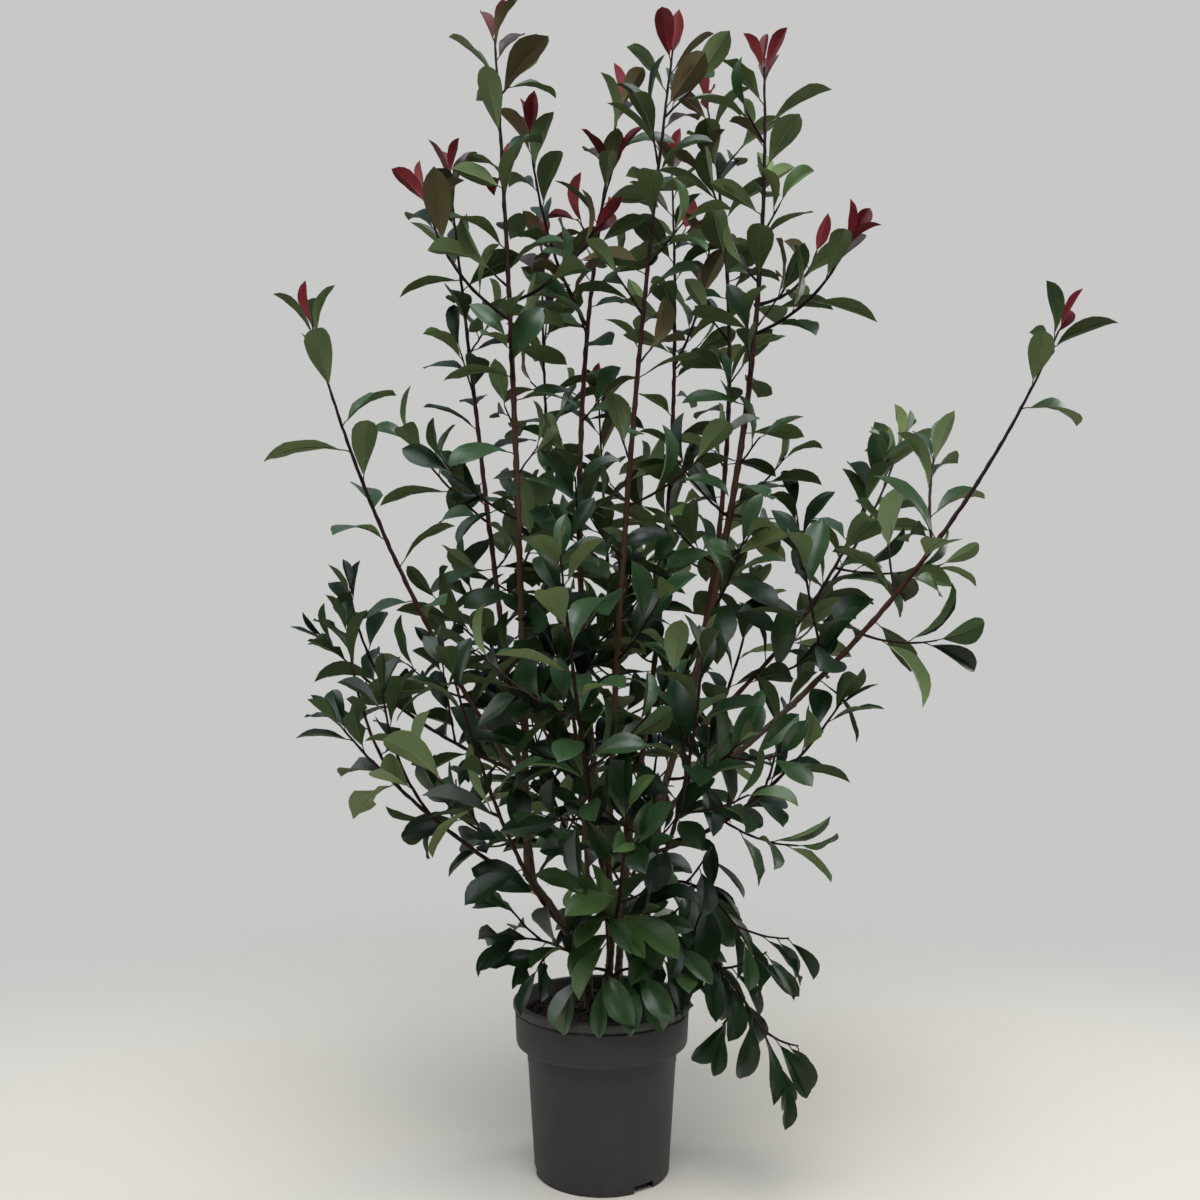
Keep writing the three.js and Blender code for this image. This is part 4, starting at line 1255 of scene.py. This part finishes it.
def blade_points(leaf):
    """The shell of one blade, from its foot at the end of the stalk to its tip."""
    half_width = leaf.length * leaf.width
    across = leaf.face.cross(leaf.along)

    def place(u, y, z):
        angle, out, down = leaf.bent(u)
        turn = leaf.twist * u
        y, z = y * math.cos(leaf.fold), z + abs(y) * math.sin(leaf.fold)
        y, z = y * math.cos(turn) - z * math.sin(turn), y * math.sin(turn) + z * math.cos(turn)
        normal = leaf.face * math.cos(angle) + leaf.along * math.sin(angle)
        return leaf.foot + leaf.along * out - leaf.face * down + across * y + normal * z

    points = [place(0, 0, 0)]
    for i, (share, width) in enumerate(LEAF_ROWS):
        tooth = 1 + (TOOTH if i % 2 else -TOOTH)
        u = share ** leaf.fullness
        for v, layer in ROUND_BLADE:
            edge = tooth if abs(v) == 1 else 1
            y = v * half_width * width * edge * leaf.bites.get((i, v > 0), 1.0)
            curl = -leaf.curl * y * y / half_width
            wave = math.sin(math.tau * (RIPPLES["waves"] * u + leaf.phase) + RIPPLES["lag"] * v)
            ripple = leaf.ripple * half_width * v * v * width * wave
            points.append(place(u, y, curl + ripple + layer * BLADE_THICKNESS / 2))
    points.append(place(1, 0, 0))
    return points


# %% [markdown]
# The stalk leaves the twig at a steep angle, bends out, and runs on under the
# blade as its rib, thinner and thinner.

# %% Draw a stalk with its rib
RIB_SHARES = (0.02, 0.25, 0.5, 0.76)
STALK_RADII = [1.25 * MM, 0.85 * MM]
RIB_RADII = (0.95, 0.3)  # mm, at the blade's foot and at its tip
RIB_DEPTH = 0.35 * MM
STALK_BOW = 1.2  # mm
STALK_SIDES = 5


def stalk_and_rib(leaf):
    """A tube from inside the twig along the stalk and under the blade, and its faces' looks."""
    path = [leaf.root, leaf.root.lerp(leaf.foot, 0.5) + leaf.stem * STALK_BOW * MM]
    radii = list(STALK_RADII)
    for u in RIB_SHARES:
        _, out, down = leaf.bent(u)
        path.append(leaf.foot + leaf.along * out - leaf.face * (down + RIB_DEPTH))
        radii.append(mix(*RIB_RADII, u) * MM * leaf.size ** 0.5)
    points, faces = tube(path, radii, STALK_SIDES)
    joint = STALK_SIDES * len(STALK_RADII)
    on_stalk = [min(face) < joint and max(face) < joint + STALK_SIDES for face in faces]
    return points, faces, [0 if stalk else 1 for stalk in on_stalk]


# %% [markdown]
# ## Leaf colours
#
# A photinia opens its leaves sealing-wax red. They turn bronze, then a fresh green,
# and end a deep, slightly bluish green with a waxy gloss. The oldest ones and those
# in the shade low down are darker still, and low down that darker green is also
# painted shade of the crown above. The underside is matte and yellower, with a pale
# rib, and outside the shade tint it is set paler still, partly as painted light
# thrown up from below. The tints have a place, so each is a plain colour dealt out
# twig by twig. What makes them leaf and not paint is in the other sockets: side
# veins as bump, and a gloss that wanders over the blade.

# %% Leaf materials
VEINS = 9  # side veins on each half of a blade


def leaf_material(name, colour, roughness, vein_depth, gloss, wax):
    """A plain leaf colour with a rib, side veins that slant forwards, and a wandering gloss."""
    material, tree, shader, place = new_material(name)
    blade = add_node(tree, "SeparateXYZ", [add_node(tree, "UVMap", uv_map=UV_NAME)])
    off_rib = add_node(tree, "Math", [blade.outputs["Y"], 0.5], operation="SUBTRACT")
    away = add_node(tree, "Math", [off_rib], operation="ABSOLUTE")
    slanted = add_node(tree, "Math", [away, -0.45, blade.outputs["X"]], operation="MULTIPLY_ADD")
    wave = add_node(tree, "Math", [slanted, math.tau * VEINS], operation="MULTIPLY")
    veins = add_node(tree, "Math", [wave], operation="SINE")
    sharp = add_node(tree, "Math", [veins, 3.0], operation="POWER")
    rib = add_node(tree, "MapRange", [away, 0.0, 0.05, -2.0, 0.0])
    height = add_node(tree, "Math", [sharp, rib], operation="ADD")
    film = add_node(tree, "TexNoise", {"Vector": place, "Scale": 1 / (24 * MM), "Detail": 3.0})
    rough = add_node(tree, "MapRange", [film, 0.3, 0.7, roughness - 0.07, roughness + 0.1])
    waxy = add_node(tree, "MapRange", [film, 0.36, 0.62, 0.0, wax])
    bump = add_node(tree, "Bump", {"Height": height, "Strength": 0.3, "Distance": vein_depth})
    fill(tree, shader, {
        "Base Color": linear(colour), "Roughness": rough, "Specular IOR Level": gloss,
        "Coat Weight": waxy, "Coat Roughness": 0.3, "Normal": bump})
    return material


def stalk_material(name, colour):
    """The skin of a stalk or a rib: one colour, and a gloss that wanders with its fibres."""
    material, tree, shader, place = new_material(name)
    fibres = add_node(tree, "TexNoise", {"Vector": place, "Scale": 1 / (3 * MM)})
    rough = add_node(tree, "MapRange", [fibres, 0.0, 1.0, 0.4, 0.6])
    fill(tree, shader, {"Base Color": linear(colour), "Roughness": rough})
    return material


# %% The tints
ROUGHNESS = dict(top=0.38, under=0.6)
UNDER_GLOSS = 0.3
# Outside the shade tint the undersides are pale partly by their own colour and partly as painted
# light thrown up from below.
TINTS = {  # upper side, underside, stalk, rib, gloss, wax, depth of veins above and below in mm
    # The darkest green: where it is dealt out low down, it is partly painted shade of the crown
    # above.
    "shade": (0x142B10, 0x455630, 0x3C2B22, 0x56683E, 0.28, 0.24, 0.12, 0.15),
    "deep": (0x1B3319, 0x67794A, 0x4A3428, 0x768656, 0.38, 0.6, 0.12, 0.15),
    "mid": (0x304D28, 0x7A8C5A, 0x55382B, 0x8A9868, 0.42, 0.68, 0.12, 0.15),
    "fresh": (0x4A6432, 0x8E9E60, 0x5F4A30, 0xA2AE74, 0.4, 0.4, 0.12, 0.15),
    "bronze": (0x382820, 0x6E6240, 0x5A2A22, 0x8C6A48, 0.35, 0.26, 0.05, 0.05),
    "red": (0x54101A, 0x7C2226, 0x5A1C20, 0x8A3430, 0.15, 0.0, 0.03, 0.03),
}
leaf_looks = {}
for tint, (top, under, stalk, rib, gloss, wax, above, below) in TINTS.items():
    leaf_looks[tint] = (
        leaf_material("waxy_leaf_" + tint, top, ROUGHNESS["top"], above * MM, gloss, wax),
        leaf_material(
            "matte_underside_" + tint, under, ROUGHNESS["under"], below * MM, UNDER_GLOSS, 0.0),
        stalk_material("leaf_stalk_" + tint, stalk),
        stalk_material("leaf_rib_" + tint, rib),
    )
print(len(leaf_looks), "leaf tints")

# %% [markdown]
# ## Leaves on a twig
#
# From the tip back, each leaf gets its place, opening, droop and turn by the rule,
# and then its own fold and bend. If it would pass through something it is turned
# on a little and tried again, and left out after a few tries, as a bud is that has
# no room.

# %% Where each leaf stands
def leaves_on(twig):
    """Every leaf of a twig from the tip back, as the rule gives it."""
    own, seed = twig.own, twig.seed
    gap = own["gap"] * MM * (own["closer"] or CLOSER)
    even = twig.order != "main" or own["closer"]
    clear = own["clear"] if twig.order == "main" else PLAIN["clear"]
    back = YOUNG_LEAVES[0][0] * MM
    i = twig.first
    while back < twig.cane.span * (1 - twig.start) - LEAST_FOOT:
        young = YOUNG_LEAVES[i] if i < len(YOUNG_LEAVES) else None
        age = min(1, back / AGEING_LENGTH)
        size = young[1] if young else 1 + LEAF_SPREAD["size"] * swing(seed, "leaf_size", i)
        size *= own["size"]
        limpness = 0 if young else mix(*DROOP, age) * (0.5 + chance(seed, "leaf_droop", i))
        if not clear[0] < 1 - back / twig.cane.span < clear[1]:
            yield Leaf(i=i, back=back, young=bool(young), age=age, size=size,
                       opening=young[2] if young else mix(*GROWN_OPENING, age),
                       droop=limpness + own["droop"])
        if i + 1 < len(YOUNG_LEAVES):
            back += (YOUNG_LEAVES[i + 1][0] - young[0]) * MM
        else:
            crowding = 1 if even else mix(*CROWDING, age)
            back += gap * crowding * (1 + LEAF_SPREAD["gap"] * swing(seed, "leaf_gap", i))
        i += 1


# %% How one leaf is folded, bent and bitten
FOLD = (0.62, 0.2)  # how far each half is folded up, in radians, on a young and on an old leaf
FOLD_SPREAD = (0.6, 1.4)
FOLD_AGEING = 1.4  # how much sooner than its age a leaf unfolds
ARCH = dict(young=(0.1, 0.4), grown=(0.35, 1.05), age=0.15)
CURL = (0.0, 0.22)
TIP_FULLNESS = (0.9, 1.16)
TWIST = dict(sound=0.35, tatty=0.9)
RIPPLE = (0.01, 0.07)
TATTY_RIPPLE = 2.4
WIDTH = (0.2, 0.27)
YOUNG_WIDTH = 0.94
YOUNG_BELOW, TATTY_ABOVE = 0.7, 0.8  # sizes
BITES = 3
BITE_ROWS = (2, 6)  # the first row that may be bitten, and from how many one is picked
LEFT_BY_BITE = dict(first=0.35, next=0.15, more=0.4)  # shares of the edge


def shape_leaf(twig, leaf):
    """The fold, bend, twist and ripple of one leaf, and what is bitten off it."""
    seed, i = twig.seed, leaf.i
    tatty = leaf.size > TATTY_ABOVE and chance(seed, "tatty", i) < twig.own["tatty"]
    bites = {}
    for k in range(BITES if tatty else 0):
        step = i + 7 * k
        first = BITE_ROWS[0] + int(BITE_ROWS[1] * chance(seed, "bite", step))
        side = chance(seed, "bite", step + 3) > 0.5
        more = LEFT_BY_BITE["more"] * chance(seed, "bite", step + 5)
        bites[(first, side)] = LEFT_BY_BITE["first"]
        bites[(first + 1, side)] = LEFT_BY_BITE["next"] + more
    young = leaf.young and leaf.size < YOUNG_BELOW
    arch = mix(*ARCH["young" if young else "grown"], chance(seed, "arch", i))
    fold = mix(*FOLD, min(1, leaf.age * FOLD_AGEING))
    leaf.know(
        arch=arch if young else arch + ARCH["age"] * leaf.age,
        fold=fold * mix(*FOLD_SPREAD, chance(seed, "fold", i)),
        curl=mix(*CURL, chance(seed, "fold", i + 9)),
        fullness=mix(*TIP_FULLNESS, chance(seed, "width", i + 40)),
        twist=TWIST["tatty" if tatty else "sound"] * swing(seed, "twist", i),
        ripple=mix(*RIPPLE, chance(seed, "ripple", i)) * (TATTY_RIPPLE if tatty else 1),
        phase=chance(seed, "ripple", i + 5),
        width=mix(*WIDTH, chance(seed, "width", i)) * (YOUNG_WIDTH if young else 1),
        bites=bites,
    )


# %% How one leaf is turned
FRONT = Vector((0, -1, 0))
LIGHT_SIDE = Vector((-0.15, -0.35, 0.92))  # the plant has turned its leaves a little to a window
SHADED_FACE = (0.45, 0.5, 0.6)  # how far a shaded leaf looks outwards, to the front and up


def turn_leaf(twig, leaf, nudge, wider):
    """Fills in a leaf's directions, turned on round the twig and opened further by some degrees."""
    cane, seed, i = twig.cane, twig.seed, leaf.i
    t = 1 - leaf.back / cane.span
    stem, root = cane.along(t), cane.point(t)
    turn = SEED_TURN["leaf"] * seed + GOLDEN_ANGLE * i
    turn += LEAF_SPREAD["turn"] * swing(seed, "leaf_turn", i)
    out = cane.sideways(t, turn + twig.own["spin"] + nudge)
    tilt = leaf.opening + wider + LEAF_SPREAD["opening"] * swing(seed, "leaf_opening", i)
    tilt = math.radians(tilt)
    along = stem * math.cos(tilt) + out * math.sin(tilt) - UP * leaf.droop
    along.normalize()
    if twig.own["shaded"]:
        outward = Vector((root.x, root.y, 0)).normalized()
        face = outward * SHADED_FACE[0] + FRONT * SHADED_FACE[1] + UP * SHADED_FACE[2]
    else:
        face = stem + LIGHT_SIDE * (0 if leaf.young else TURN_TO_LIGHT)
    face = (face - along * face.dot(along)).normalized()
    roll = math.radians(LEAF_SPREAD["roll"] * swing(seed, "leaf_roll", i))
    face = Matrix.Rotation(roll, 3, along) @ face
    shape_leaf(twig, leaf)
    lifted = Matrix.Rotation(-leaf.arch / 3, 3, face.cross(along)) @ along
    face = (face - lifted * face.dot(lifted)).normalized()
    petiole = PETIOLE * leaf.size
    leaf.know(stem=stem, along=lifted, face=face, root=root, foot=root + lifted * petiole,
              length=LEAF_LENGTH * leaf.size - petiole)


# %% Tints by twig
# Below this height the darkest green is dealt out more often, partly as painted shade of the crown
# above.
LOW = 900 * MM
GREENS = dict(low=(0.7, 0.95), high=(0.42, 0.93))  # share of dark leaves, and with the middle ones
OLD_SHARE = 0.4  # of the dark leaves above this height, those as dark as the low ones
STRAY = 0.35  # share of leaves whose green isn't that of their twig
THIRD_RED = 0.6  # how often the third leaf of a tip is red too
BRONZE_TO = (4, 7, 0.4)  # leaves of a tip that are bronze, those that may be, and how often
RED_SPUR = dict(above=1450 * MM, share=0.4)
BRONZE_SHOOTS = 0.25


def tint_of(twig, leaf, height):
    """Red and bronze at the tips of tall shoots, and greens that keep together by twig."""
    own, seed, i = twig.own, twig.seed, leaf.i
    at_tip = twig.tall and twig.order in ("main", "named") and twig.first == 0
    luck = chance(seed, "tint", i)
    if at_tip and i < (own["reds"] or (3 if luck < THIRD_RED else 2)):
        return "red"
    if (twig.order == "spur" and i < BRONZE_TO[0] and height > RED_SPUR["above"]
            and chance(seed, "tint", 98) < RED_SPUR["share"]):
        return "red"
    next_to_red = i < BRONZE_TO[0] or i < BRONZE_TO[1] and luck < BRONZE_TO[2]
    if at_tip and next_to_red and not own["reds"]:
        return "bronze"
    if twig.tall and i < BRONZE_TO[0] and chance(seed, "tint", 99) < BRONZE_SHOOTS:
        return "bronze"
    draw = chance(seed, "tint", i + 200 if luck < STRAY else 0)
    # More dark leaves low down, and in rows with their own greens, partly as painted shade.
    dark, middle = own["greens"] or GREENS["low" if height < LOW else "high"]
    if draw < dark:
        return "shade" if height < LOW or draw < OLD_SHARE * dark else "deep"
    return "mid" if draw < middle else "fresh"


# %% Grow the leaves
TRIES = [  # turned on round the twig, and opened further, in degrees
    (0, 0), (24, 0), (-24, 0), (52, 0), (-52, 0), (0, 12), (30, 12), (-30, 12), (60, 18), (-60, 18)]
GROWTH = dict(share=0.016, more=8 * MM)  # how far a tip may pass each side of the frame's box

blades = {tint: Heap() for tint in TINTS}
stalks = {tint: Heap() for tint in TINTS}
low_bound, high_bound = (Vector(corner) for corner in frame_box)
allowance = (high_bound - low_bound) * GROWTH["share"] + Vector((1, 1, 1)) * GROWTH["more"]
low_bound, high_bound = low_bound - allowance, high_bound + allowance
no_room = 0
for twig in twigs:
    for leaf in leaves_on(twig):
        for nudge, wider in TRIES:
            turn_leaf(twig, leaf, nudge, wider)
            points = blade_points(leaf)
            tip = points[TIP_POINT]
            inside = all(low_bound[k] < tip[k] < high_bound[k] for k in range(3))
            if inside and standing.free(points, blade_faces):
                break
        else:
            no_room += 1
            continue
        tint = tint_of(twig, leaf, leaf.root.z)
        standing.add(points, blade_faces, "leaf")
        blades[tint].add(points, blade_faces, blade_looks, blade_places)
        stalks[tint].add(*stalk_and_rib(leaf))
print(sum(heap.count for heap in blades.values()), "leaves,", no_room, "without room")

# %% [markdown]
# ## Make the pieces
#
# Twigs, leaves and stalks are made into one mesh of each kind and tint. They
# stand for all the masses of foliage together.

# %% Leaves and stalks
masses = [node for node in frame["nodes"] if node.startswith("foliage_")]
for tint in TINTS:
    top, under, stalk, rib = leaf_looks[tint]
    leaf_piece = blades[tint].make("leaves_" + tint, [top, under])
    stalk_piece = stalks[tint].make("leaf_stalks_" + tint, [stalk, rib])
    for piece in (leaf_piece, stalk_piece):
        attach(piece, "root")
        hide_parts(*masses)

# %% Canes and shoots
main_heap, shoot_heap = Heap(), Heap()
for twig in twigs:
    points, faces, places = shape_of[twig]
    looks = [0 if twig.tall else 1] * len(faces)
    (main_heap if twig.order == "main" else shoot_heap).add(points, faces, looks, places)
main_canes = main_heap.make("canes_in_leaf", [tall_bark, twig_bark])
side_shoots = shoot_heap.make("side_shoots", [tall_bark, twig_bark])
for piece in (main_canes, side_shoots):
    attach(piece, "root")
    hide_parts(*masses)

# %% [markdown]
# ## The size at the end
#
# The dressed plant has to stay within the engineering model's box, so its box is
# printed here, as the frame's was at the start.

# %% Sizes
dressed_box = [list(corner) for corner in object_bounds()]
print("dressed from", dressed_box[0], "to", dressed_box[1])
